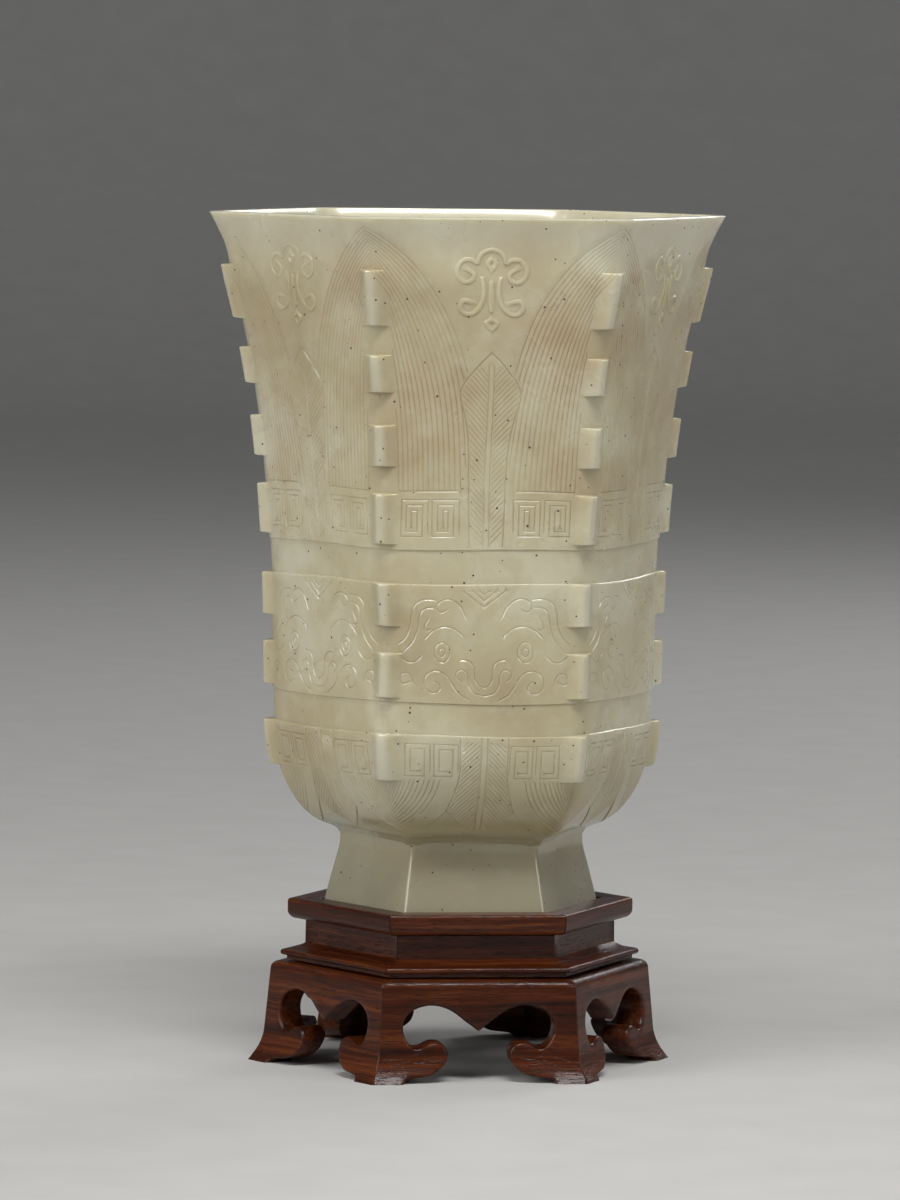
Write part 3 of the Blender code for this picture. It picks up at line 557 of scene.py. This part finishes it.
# Square frets: each one cut that winds inwards, two beside the leaf in the upper and lower bands.
FRET_PITCH, FRET_TURNS, FRET_ROOM, FRET_END = 0.88, 3, 0.6, 0.3
FRETS = (
    (4.2, 8.5, 94.2, 100.4), (9.2, 13.7, 94.2, 100.4),
    (4.2, 8.1, 52.7, 58.3), (8.7, 12.8, 52.7, 58.3),
)  # fmt: skip
for left, right, low, high in FRETS:
    wind = [(left, low + FRET_PITCH)]
    for inset in FRET_PITCH * np.arange(FRET_TURNS):
        room = right - left - 2 * inset
        if room > FRET_ROOM:
            wind += [(left + inset, high - inset), (right - inset, high - inset)]
            wind += [(right - inset, low + inset)]
        if room > FRET_PITCH + FRET_END:
            wind += [(left + inset + FRET_PITCH, low + inset)]
    cut(straight(on_side(wind)), 0.17, 0.10)
cut(even_steps(from_corner(np.linspace(TOOTH_ROOT, 13.0, 12), np.full(12, LEAF_FOOT)), 1.8), 0.2, 0.12)

# Leaves of the bowl, hanging: one down the middle of each side, one down each corner.
HANG_TOP, HANG_TIP, HANG_HALF, HANG_JOIN = 59.4, 42.2, 3.9, (5.6, 46.4)
HANG_RIB, HANG_VEIN_LOW, HANG_VEIN_STEP, HANG_VEIN_REACH, HANG_VEIN_BEND = 0.5, 43.6, 0.82, 4.6, 0.6
CORNER_CUTS, CORNER_TOP, CORNER_WIDE, CORNER_BEND, CORNER_NEST = 13, 51.9, 11.4, 4.6, 8.2
hang_edge = smooth_path([(HANG_HALF, HANG_TOP), (HANG_HALF, 53.0), (4.6, 49.6), HANG_JOIN], 0.8)
hang_point = smooth_path([HANG_JOIN, (3.4, 44.2), (1.5, 42.9), (0.0, HANG_TIP)], 0.6)
corner_drawn = [HANG_JOIN, (6.8, 45.0), (8.6, 43.2), (10.5, 42.1), (12.4, 41.75)]
corner_point = even_steps(on_side(corner_drawn), 0.6)
tips = np.vstack([even_steps(on_side(hang_point[::-1]), 0.6), corner_point[1:]])
cut(tips, TIP_EDGE / 2, 0.10)
cut(on_side(hang_edge))
cut(even_steps(on_side([(HANG_RIB, HANG_TOP), (HANG_RIB, HANG_TIP + 0.8)]), 1.4), 0.2, 0.12)
for start in np.arange(HANG_VEIN_LOW, HANG_TOP + 3.4, HANG_VEIN_STEP):
    vein = np.linspace(0, 1, 20)
    falling = start - HANG_VEIN_REACH * vein - HANG_VEIN_BEND * vein**2
    path = np.stack([HANG_RIB + 0.25 + HANG_VEIN_REACH * vein, falling], 1)
    limit = np.where(
        path[:, 1] > HANG_JOIN[1],
        np.interp(path[:, 1], hang_edge[::-1, 1], hang_edge[::-1, 0]),
        np.interp(path[:, 1], hang_point[::-1, 1], hang_point[::-1, 0]),
    )
    path = path[(path[:, 0] < limit - 0.25) & (path[:, 1] < HANG_TOP - 0.4)]
    if len(path) > 3:
        cut(even_steps(on_side(path), 1.0), 0.16, 0.09)
for share in np.linspace(0.12, 0.93, CORNER_CUTS):
    tip = HANG_TIP + 0.3 + CORNER_NEST * (1 - share)
    up = np.linspace(tip, CORNER_TOP, 40)
    path = from_corner(CORNER_WIDE * share * (1 - np.exp((tip - up) / CORNER_BEND)), up)
    path = path[path[:, 0] > np.interp(up_at(path[:, 1]), hang_edge[::-1, 1], hang_edge[::-1, 0]) + 0.3]
    if len(path) > 4:
        cut(even_steps(path, 0.9), 0.16, 0.10)

# Scroll mask: hooked horns, tall oval eyes, curled nose and jaws, in soft shallow cuts.
MASK = (
    ((0.0, 82.2), (1.8, 83.6), (3.4, 84.9)),
    ((0.0, 83.2), (1.1, 84.2), (1.9, 84.9)),
    ((0.0, 84.3), (0.8, 84.9)),
    ((3.0, 80.4), (3.9, 82.3), (5.5, 83.5), (7.1, 83.3), (7.9, 82.2), (7.3, 81.2), (6.4, 81.6)),
    ((8.8, 83.5), (10.5, 83.3), (11.8, 82.1), (12.2, 80.3), (12.5, 78.3), (13.4, 76.5), (14.4, 75.7)),
    ((9.4, 82.0), (10.4, 81.5), (10.9, 80.0), (11.2, 78.0), (12.0, 76.0), (13.2, 74.7)),
    ((3.4, 77.3), (4.9, 78.5), (6.8, 78.8), (8.5, 78.1), (9.7, 76.8)),
    ((9.5, 79.6), (10.0, 78.7), (9.5, 78.0), (8.9, 78.4)),
    ((0.0, 67.0), (1.6, 67.5), (2.5, 68.9), (2.6, 70.5), (3.3, 71.5), (4.3, 71.2), (4.5, 70.2),
     (3.8, 69.6)),
    ((0.0, 68.4), (0.9, 68.9), (1.4, 70.0), (1.5, 71.6), (2.2, 72.9), (3.5, 73.2)),
    ((5.5, 69.6), (6.5, 70.8), (8.1, 71.2), (9.5, 70.3), (9.8, 68.7), (8.8, 67.4), (7.5, 67.5),
     (7.1, 68.6), (7.9, 69.3)),
    ((2.4, 66.3), (3.8, 67.1), (4.8, 68.3)),
    ((11.6, 69.0), (12.2, 70.3), (13.4, 70.6), (14.1, 69.6), (13.6, 68.6), (12.8, 68.9)),
    ((10.6, 73.3), (11.7, 72.5), (13.0, 72.6), (13.9, 73.4)),
)  # fmt: skip
for drawn in MASK:
    cut(even_steps(on_side(smooth_path(drawn, 0.3)), 0.62), 0.20, 0.115, 0.5)
EYE_ACROSS, EYE_UP, EYE_RINGS = 6.9, 74.4, ((1.3, 1.75), (0.5, 0.75))
around = np.radians(np.linspace(0, 360, 25))
for wide, tall in EYE_RINGS:
    ring = np.stack([EYE_ACROSS + wide * np.cos(around), EYE_UP + tall * np.sin(around)], 1)
    cut(on_side(ring), 0.19, 0.11, 0.5)

# Cloud head in relief near the rim: three lobes with curled ends, on a stem with two leaves.
CLOUD = (
    ((0.0, 143.4), (1.2, 143.1), (2.1, 142.2), (2.4, 141.0), (3.3, 141.7), (4.7, 141.6),
     (5.7, 140.4), (5.6, 138.9), (4.5, 137.9), (3.2, 138.2), (2.9, 139.3), (3.7, 139.9)),
    ((0.0, 141.9), (0.7, 141.2), (0.0, 139.9)),
    ((1.5, 138.6), (1.2, 136.8), (1.5, 134.6), (2.6, 132.8), (4.1, 132.4), (5.1, 133.4),
     (4.7, 134.7), (3.6, 134.6)),
    ((0.0, 138.0), (0.1, 135.6), (0.0, 133.0)),
    ((0.0, 131.6), (0.9, 130.9), (0.0, 129.8)),
)  # fmt: skip
for drawn in CLOUD:
    cord(even_steps(on_side(smooth_path(drawn, 0.3)), 0.5), 0.40, 0.23)

# The sheet: half of one side, from its middle to its corner, with every cut and tooth as edges.
EDGE_STEPS, FOOT_STEPS, RIM_STEPS = 170, 9, 15
top_run = run[-1]
edge_run = np.linspace(0, top_run, EDGE_STEPS)
foot_across = np.linspace(0, corner_at(0.0), FOOT_STEPS)
rim_across = np.linspace(0, corner_at(top_run), RIM_STEPS)
half_side = np.vstack(
    [
        np.stack([foot_across, np.zeros(FOOT_STEPS)], 1),
        np.stack([corner_at(edge_run[1:-1]), edge_run[1:-1]], 1),
        np.stack([rim_across[::-1], np.full(RIM_STEPS, top_run)], 1),
        np.stack([np.zeros(EDGE_STEPS - 2), edge_run[-2:0:-1]], 1),
    ]
)


def held(path):
    """The part of a path that lies on the sheet."""
    return np.stack([np.clip(path[:, 0], 0, corner_at(path[:, 1])), path[:, 1]], 1)


seams = []
for path, half, *_ in cuts:
    seams += [path, held(beside(path, half)), held(beside(path, -half))]
for path, half, _ in cords:
    seams += [held(beside(path, half * part)) for part in (-1.0, -0.8, -0.4, 0.0, 0.4, 0.8, 1.0)]
for top, low in TEETH:
    for inset in (0.0, 0.07, 0.2, TOOTH_END):
        for end in (low + inset, top - inset):
            seams.append(from_corner(np.linspace(0, TOOTH_ROOT, 5), np.full(5, end)))
    for gap in (0.6, *np.linspace(TOOTH_HALF, TOOTH_ROOT, 5)):
        seams.append(from_corner(np.full(7, gap), np.linspace(low, top, 7)))
for edges in BANDS:
    for edge in edges:
        for shift in (-BAND_EDGE / 2, BAND_EDGE / 2):
            at = run_at(edge + shift)
            seams.append(even_steps(np.array([(0.0, at), (corner_at(at), at)]), 1.1))
for gap in (0.3, 0.7, 1.3):
    seams.append(from_corner(np.full(9, gap), np.linspace(CUP_LOW + 0.4, CUP_LOW + FOOT_TALL + 1.5, 9)))
sheet, sheet_faces = flat_sheet(half_side, seams, grid=1.35, clear=0.5)

# Depth of every cut, height of every cord, and the lowered ground, at each point of the sheet.
sheet_up = up_at(sheet[:, 1])
sunk, stain, raised = np.zeros((3, len(sheet)))
for path, half, deep, dirty in cuts:
    near = np.all((sheet > path.min(0) - half) & (sheet < path.max(0) + half), axis=1)
    share = np.clip(1 - distance_to(path, sheet[near]) / half, 0, 1)
    sunk[near] = np.maximum(sunk[near], deep * share)
    stain[near] = np.maximum(stain[near], share * dirty)
for path, half, high in cords:
    near = np.all((sheet > path.min(0) - half) & (sheet < path.max(0) + half), axis=1)
    share = np.clip(distance_to(path, sheet[near]) / half, 0, 1)
    raised[near] = np.maximum(raised[near], high * np.sqrt(1 - share**2))
ground = np.zeros(len(sheet))
for top, low in BANDS:
    inside_band = np.minimum(top - sheet_up, sheet_up - low) / BAND_EDGE + 0.5
    ground = np.maximum(ground, np.clip(inside_band, 0, 1))
tip_line = np.interp(sheet[:, 0], tips[:, 0], tips[:, 1])
below_tips = np.where(sheet[:, 1] < tip_line, 1, -1) * distance_to(tips, sheet)
under_tips = np.clip(below_tips / TIP_EDGE + 0.5, 0, 1)
under_tips *= np.clip((sheet_up - TIP_FADE_FROM) / TIP_FADE_OVER, 0, 1)
lift = raised - sunk - np.maximum(BAND_DEEP * ground, TIP_DEEP * under_tips)
leaf_reach = LEAF_WIDE * (1 - np.exp(np.minimum(sheet_up - LEAF_TIP, 0) / LEAF_BEND))
leaf = np.clip((leaf_reach - corner_at(sheet[:, 1]) + sheet[:, 0]) / 3.0 + 0.5, 0, 1) * (sheet_up > LEAF_FOOT)

# Twelve copies of the sheet, every other one mirrored, stand round the axis on the eased hexagon.
across = np.clip(sheet[:, 0] / corner_at(sheet[:, 1]), 0, 1)
across[across < WELD] = 0
across[across > 1 - WELD] = 1
turn = np.arctan(across * TAN_HALF)
on_seam = (across[sheet_faces] == 0).all(1) | (across[sheet_faces] == 1).all(1)
sheet_faces = sheet_faces[~on_seam]


def stand_up(at, turn):
    """Point of the plain outer surface, in a side's own frame: along, out, up."""
    corner, up = np.interp(at, run, profile[:, 0]), up_at(at)
    radius = section_radius(corner, up, turn)
    return np.stack([radius * np.sin(turn), radius * np.cos(turn), up], 1)


RUN_STEP, TURN_STEP, CORNER_BLEND = 0.2, 1e-3, 2.5
base = stand_up(sheet[:, 1], turn)
step_run = np.clip(sheet[:, 1], RUN_STEP, top_run - RUN_STEP)
by_run = stand_up(step_run + RUN_STEP, turn) - stand_up(step_run - RUN_STEP, turn)
by_turn = stand_up(sheet[:, 1], turn + TURN_STEP) - stand_up(sheet[:, 1], turn - TURN_STEP)
normal = np.cross(by_run, by_turn)
normal /= np.linalg.norm(normal, axis=1)[:, None]
normal *= np.sign((normal * base * (1, 1, 0)).sum(1))[:, None]
to_corner = corner_at(sheet[:, 1]) * (1 - across)
corner_way = np.array([np.sin(TURN / 2), np.cos(TURN / 2), 0.0])
seam_share = np.clip(1 - to_corner / CORNER_BLEND, 0, 1)[:, None]
normal = normal * (1 - seam_share) + corner_way * seam_share * (normal @ corner_way)[:, None]
outer = base + normal * lift[:, None]
tooth = np.zeros(len(sheet))
for top, low in TEETH:
    end = np.clip(np.minimum(top - sheet_up, sheet_up - low) / TOOTH_END, 0, 1)
    flank = np.clip((TOOTH_ROOT - to_corner) / (TOOTH_ROOT - TOOTH_HALF), 0, 1)
    tooth = np.maximum(tooth, (1 - (1 - end) ** 4) * flank**2 * (3 - 2 * flank))
corner_radius = np.interp(sheet[:, 1], run, profile[:, 0])
tooth_out = corner_radius + TOOTH_PROUD - TOOTH_CROWN * to_corner**2
outer += corner_way * (tooth * (tooth_out - outer @ corner_way))[:, None]

copies, copy_faces, copy_marks = [], [], []
for side in range(1, SIDES + 1):
    along, out = side_frame(side)
    for hand in (1, -1):
        copies.append(outer[:, :1] * along * hand + outer[:, 1:2] * out + outer[:, 2:] * UP)
        copy_faces.append(sheet_faces[:, ::hand] + len(sheet) * len(copy_faces))
        copy_marks.append(np.stack([stain, tooth, leaf], 1))
copies, copy_faces, copy_marks = (np.vstack(part) for part in (copies, copy_faces, copy_marks))
_, first, number = np.unique(np.round(copies, 3), axis=0, return_index=True, return_inverse=True)
skin, skin_marks = copies[first], copy_marks[first]
skin_faces = number.reshape(-1)[copy_faces]
whole = (skin_faces != np.roll(skin_faces, 1, 1)).all(1)
skin_faces = skin_faces[whole]


def closed_by(loop, rings, pole_up, offset):
    """Rings of eased hexagons carry a border loop on to a pole: points, and faces numbered from offset."""
    turns = np.arctan2(skin[loop, 1], skin[loop, 0])
    from_middle = (turns + np.pi / 2 + TURN / 2) % TURN - TURN / 2
    radius, up = np.array(rings, float).T
    radius = section_radius(radius[:, None], up[:, None], from_middle)
    level = np.broadcast_to(up[:, None], radius.shape)
    points = np.stack([radius * np.cos(turns), radius * np.sin(turns), level], -1)
    points = np.vstack([points.reshape(-1, 3), (0, 0, pole_up)])
    number = np.vstack([loop, offset + np.arange(len(rings) * len(loop)).reshape(len(rings), -1)])
    onward = np.roll(number, -1, 1)
    quads = np.stack([number[:-1], onward[:-1], onward[1:], number[1:]], -1).reshape(-1, 4).tolist()
    pole = np.full(len(loop), offset + len(points) - 1)
    return points, quads + np.stack([number[-1], onward[-1], pole], 1).tolist()


border = np.unique(rim_of(skin_faces))
by_angle = border[np.argsort(np.arctan2(skin[border, 1], skin[border, 0]))]
rim_loop = by_angle[skin[by_angle, 2] > BELLY_UP]
foot_loop = by_angle[skin[by_angle, 2] < BELLY_UP]

# Inside: a rounded rim, a wall that thickens downwards, a bowl; below: the foot ring and its recess.
rim_out = float(outer_radius(RIM_UP))
inner_rim = RIM_WIDE - RIM_WALL
rings = [(rim_out - 0.07, RIM_UP - 0.22), (rim_out - 0.3, RIM_UP - 0.05), (rim_out - 0.6, RIM_UP)]
rings += [(inner_rim + 0.5, RIM_UP), (inner_rim + 0.2, RIM_UP - 0.08), (inner_rim, RIM_UP - 0.35)]
for up in np.linspace(RIM_UP - 1.2, BELLY_UP, 30):
    wall = np.interp(up, (BELLY_UP, RIM_UP), (BELLY_WALL, RIM_WALL))
    rings.append((float(plain_radius(up)) - wall, up))
for angle in np.radians(np.linspace(0, 84, 13)[1:]):
    up = BELLY_UP - (BELLY_UP - FLOOR_UP) * np.sin(angle)
    rings.append(((BELLY_WIDE - BELLY_WALL) * np.cos(angle), up))
hollow, hollow_faces = closed_by(rim_loop, rings, FLOOR_UP, len(skin))
ring_in = FOOT_WIDE - FOOT_RING
roof = CUP_LOW + FOOT_RECESS
rings = [(FOOT_WIDE - 0.25, CUP_LOW), (ring_in + 0.3, CUP_LOW), (ring_in, CUP_LOW + 0.3)]
rings += [(ring_in, roof - 0.8), (ring_in - 0.8, roof), (8.0, roof)]
under, under_faces = closed_by(foot_loop, rings, roof, len(skin) + len(hollow))
cup_points = np.vstack([skin, hollow, under])
cup_faces = skin_faces.tolist() + hollow_faces + under_faces
marks = np.vstack([skin_marks, np.zeros((len(hollow) + len(under), 3))])

# Hand work: no two sides alike, so the whole stone wanders by a tenth or two of a millimetre.
DRIFT, DRIFT_UP, CALM_FOOT, CALM_OVER, CALM_RIM = 0.20, 0.16, 3.0, 12.0, 8.0
round_at = np.arctan2(cup_points[:, 1], cup_points[:, 0])
x, y, z = cup_points.T
calm = np.clip((z - CUP_LOW - CALM_FOOT) / CALM_OVER, 0, 1)
drift = calm * DRIFT * (np.sin(3 * round_at + 0.11 * z) + 0.7 * np.sin(5 * round_at - 0.19 * z + 1.3))
lift_drift = calm * DRIFT_UP * (np.sin(2 * round_at + 0.6) + np.sin(5 * round_at + 0.09 * z))
lift_drift *= np.clip((RIM_UP - z) / CALM_RIM, 0, 1)
cup_points = np.stack([x - drift * np.sin(round_at), y + drift * np.cos(round_at), z + lift_drift], 1)

# Jade: clouded celadon with rust stains, dirt in the cuts and fine dark specks, under a waxy polish
# that lets some light in. Paler at the rim, partly its tone and partly painted light through the thin
# edge; darker olive below, partly the stone and partly painted shade under the bowl and on the foot.
jade, shader, add, join = new_finish("celadon_jade")
spot = add("TexCoord").outputs["Object"]
height = add("SeparateXYZ", {0: spot}).outputs["Z"]
stain_mark = add("Attribute", attribute_name="stain").outputs["Fac"]
tooth_mark = add("Attribute", attribute_name="tooth").outputs["Fac"]
leaf_mark = add("Attribute", attribute_name="leaf").outputs["Fac"]
cloud = add("TexNoise", {"Vector": spot, "Scale": 38.0, "Detail": 5.0, "Roughness": 0.55}).outputs["Fac"]
wisps = add("TexNoise", {"Vector": spot, "Scale": 120.0, "Detail": 4.0, "Distortion": 1.2}).outputs["Fac"]
stone = tones(
    add, cloud, [(0.32, (0.40, 0.33, 0.185)), (0.48, (0.505, 0.445, 0.275)), (0.64, (0.60, 0.565, 0.415))]
)
stone = mixed(add, ranged(add, wisps, 0.50, 0.72, 0.0, 0.45), stone, (0.40, 0.33, 0.195))
flecks = add("TexNoise", {"Vector": spot, "Scale": 330.0, "Detail": 4.0, "Roughness": 0.6}).outputs["Fac"]
stone = mixed(add, ranged(add, flecks, 0.50, 0.75, 0.0, 0.35), stone, (0.62, 0.60, 0.47))
# Paler towards the rim: partly the stone's tone, partly painted light shining through the thin edge.
pale_rim_and_glow = ranged(add, height, 0.136, 0.1487)
stone = mixed(add, ranged(add, pale_rim_and_glow, 0.0, 1.0, 0.0, 0.65), stone, (0.67, 0.65, 0.515))
# Darker olive and grey towards the bottom: partly the stone's own tone, partly painted shade on the bowl's
# underside and the foot.
olive_and_painted_shade = ranged(add, height, 0.040, 0.062, 0.75, 0.0)
low_down = ranged(add, height, 0.028, 0.044)
grey_foot_and_shade = tones(add, low_down, [(0.35, (0.285, 0.265, 0.185)), (1.0, (0.30, 0.255, 0.135))])
stone = mixed(add, olive_and_painted_shade, stone, grey_foot_and_shade)
rust = add("TexNoise", {"Vector": spot, "Scale": 52.0, "Detail": 6.0, "Roughness": 0.6}).outputs["Fac"]
rust = ranged(add, rust, 0.46, 0.70)
high_up = ranged(add, height, 0.085, 0.125, 0.2, 0.45)
stained = add("Math", {0: leaf_mark, 1: 0.5, 2: high_up}, operation="MULTIPLY_ADD").outputs[0]
rust_part = add("Math", {0: rust, 1: stained}, operation="MULTIPLY").outputs[0]
stone = mixed(add, ranged(add, rust_part, 0.0, 1.0, 0.0, 0.7), stone, (0.42, 0.30, 0.16))
stone = mixed(add, ranged(add, tooth_mark, 0.6, 1.0, 0.0, 0.45), stone, (0.55, 0.55, 0.455))
worn = ranged(add, wisps, 0.35, 0.65, 0.10, 0.45)
dirt = add("Math", {0: rust, 1: 0.6, 2: worn}, operation="MULTIPLY_ADD").outputs[0]
in_cut = add("Math", {0: stain_mark, 1: dirt}, operation="MULTIPLY").outputs[0]
stone = mixed(add, in_cut, stone, (0.30, 0.21, 0.10))
specks = add("TexVoronoi", {"Vector": spot, "Scale": 560.0, "Randomness": 1.0})
speck_pick = add("SeparateColor", {0: specks.outputs["Color"]}).outputs["Red"]
speck_size = ranged(add, speck_pick, 0.25, 1.0, 0.03, 0.125)
speck = add("Math", {0: specks.outputs["Distance"], 1: speck_size}, operation="LESS_THAN").outputs[0]
stone = mixed(add, ranged(add, speck, 0.0, 1.0, 0.0, 0.95), stone, (0.035, 0.025, 0.012))
grind = add("TexNoise", {"Vector": spot, "Scale": 900.0, "Detail": 3.0}).outputs["Fac"]
swell = add("TexNoise", {"Vector": spot, "Scale": 140.0, "Detail": 2.0}).outputs["Fac"]
wave = add("Math", {0: grind, 1: 0.12, 2: swell}, operation="MULTIPLY_ADD").outputs[0]
bump = add("Bump", {"Height": wave, "Strength": 0.3, "Distance": 0.0004}).outputs[0]
gloss = ranged(add, cloud, 0.3, 0.7, 0.34, 0.24)
join(shader, {"Base Color": stone, "Roughness": gloss, "Normal": bump, "IOR": 1.62})
join(shader, {"Subsurface Weight": 0.6, "Subsurface Radius": (1.0, 0.92, 0.68), "Subsurface Scale": 0.0026})
join(shader, {"Coat Weight": 0.55, "Coat Roughness": 0.07})

put_mesh(
    "carved_jade_cup", cup_points, cup_faces, jade, "cup", "jade_cup", "celadon_jade",
    sharp=24.0, stain=marks[:, 0], tooth=marks[:, 1], leaf=marks[:, 2],
)  # fmt: skip

# Studio: a pale floor that sweeps up behind into a backdrop, matt and very slightly mottled.
# It is the stage and no part of the object.

FLOOR_NEAR, FLOOR_DEEP, FLOOR_WIDE, SWEEP_RADIUS, BACKDROP_TALL = -3.0, 2.2, 6.0, 0.8, 3.0
bend = np.radians(np.linspace(0, 90, 24))
stage_line = np.vstack(
    [
        [(FLOOR_NEAR, 0.0), (0.0, 0.0)],
        np.stack([FLOOR_DEEP + SWEEP_RADIUS * np.sin(bend), SWEEP_RADIUS * (1 - np.cos(bend))], 1),
        [(FLOOR_DEEP + SWEEP_RADIUS, BACKDROP_TALL)],
    ]
)
stage_across = np.linspace(-FLOOR_WIDE / 2, FLOOR_WIDE / 2, 9)
stage_points = np.stack(
    [
        np.tile(stage_across, len(stage_line)),
        np.repeat(stage_line[:, 0], len(stage_across)),
        np.repeat(stage_line[:, 1], len(stage_across)),
    ],
    1,
)
number = np.arange(len(stage_points)).reshape(len(stage_line), len(stage_across))
quad_corners = (number[:-1, :-1], number[:-1, 1:], number[1:, 1:], number[1:, :-1])
stage_quads = np.stack(quad_corners, -1).reshape(-1, 4)
stage_mesh = bpy.data.meshes.new("pale_floor")
stage_mesh.from_pydata(stage_points.tolist(), [], stage_quads.tolist())
stage_mesh.shade_smooth()
paper, shader, add, join = new_finish("pale_paper")
spot = add("TexCoord").outputs["Object"]
fibres = add("TexNoise", {"Vector": spot, "Scale": 60.0, "Detail": 4.0}).outputs["Fac"]
paper_tone = tones(add, fibres, [(0.3, (0.55, 0.54, 0.52)), (0.7, (0.58, 0.57, 0.55))])
join(shader, {"Base Color": paper_tone, "Roughness": 0.75})
stage_mesh.materials.append(paper)
floor = bpy.data.objects.new("pale_floor", stage_mesh)
bpy.context.scene.collection.objects.link(floor)

# Light: a small soft box overhead in front, a large one in front to the left, and weaker ones at
# the right and behind, so that no side of the cup or the stand is lost in shadow.
# The room adds a faint, slightly cool light from everywhere.


def soft_box(name, place, aim, wide, deep, power):
    """A rectangular lamp that faces a point."""
    lamp = bpy.data.lights.new(name, "AREA")
    lamp.shape = "RECTANGLE"
    lamp.size, lamp.size_y = wide, deep
    lamp.energy = power
    box = bpy.data.objects.new(name, lamp)
    way = np.array(aim) - np.array(place)
    turn = Matrix.Rotation(np.arctan2(way[1], way[0]) - np.pi / 2, 4, "Z")
    tilt = Matrix.Rotation(np.pi / 2 + np.arctan2(way[2], np.hypot(way[0], way[1])), 4, "X")
    box.matrix_world = Matrix.Translation(place) @ turn @ tilt
    bpy.context.scene.collection.objects.link(box)


MIDDLE = (0.0, 0.0, 0.08)
soft_box("top_box", (0.02, -0.34, 0.60), MIDDLE, 0.30, 0.16, 2.4)
soft_box("front_box", (-1.15, -0.68, 0.75), MIDDLE, 0.9, 0.9, 11.3)
soft_box("right_box", (1.1, -0.6, 0.6), MIDDLE, 0.5, 0.5, 3.1)
soft_box("back_box", (0.70, 0.85, 0.70), MIDDLE, 0.5, 0.4, 3.0)

world = bpy.data.worlds.new("studio")
bpy.context.scene.world = world
world.use_nodes = True
world.node_tree.nodes["Background"].inputs["Color"].default_value = (0.95, 0.97, 1.0, 1)
world.node_tree.nodes["Background"].inputs["Strength"].default_value = 0.16

# Camera: far off with a long lens, a little above the rim, turned to the front side's left.
# Its tilt, pan and roll are in degrees, its place in metres.

CAMERA_AT, LENS, FILM_WIDE = (-0.1407, -1.2150, 0.1732), 210.0, 36.0
CAMERA_DOWN, CAMERA_PAN, CAMERA_ROLL = 4.316, -6.49, 0.653
lens = bpy.data.cameras.new("photo_camera")
lens.lens = LENS
lens.sensor_width = FILM_WIDE
camera = bpy.data.objects.new("photo_camera", lens)
pan = Matrix.Rotation(np.radians(CAMERA_PAN), 4, "Z")
tilt = Matrix.Rotation(np.radians(90 - CAMERA_DOWN), 4, "X")
roll = Matrix.Rotation(np.radians(CAMERA_ROLL), 4, "Z")
camera.matrix_world = Matrix.Translation(CAMERA_AT) @ pan @ tilt @ roll
bpy.context.scene.collection.objects.link(camera)
bpy.context.scene.camera = camera
bpy.context.scene.view_settings.view_transform = "Standard"
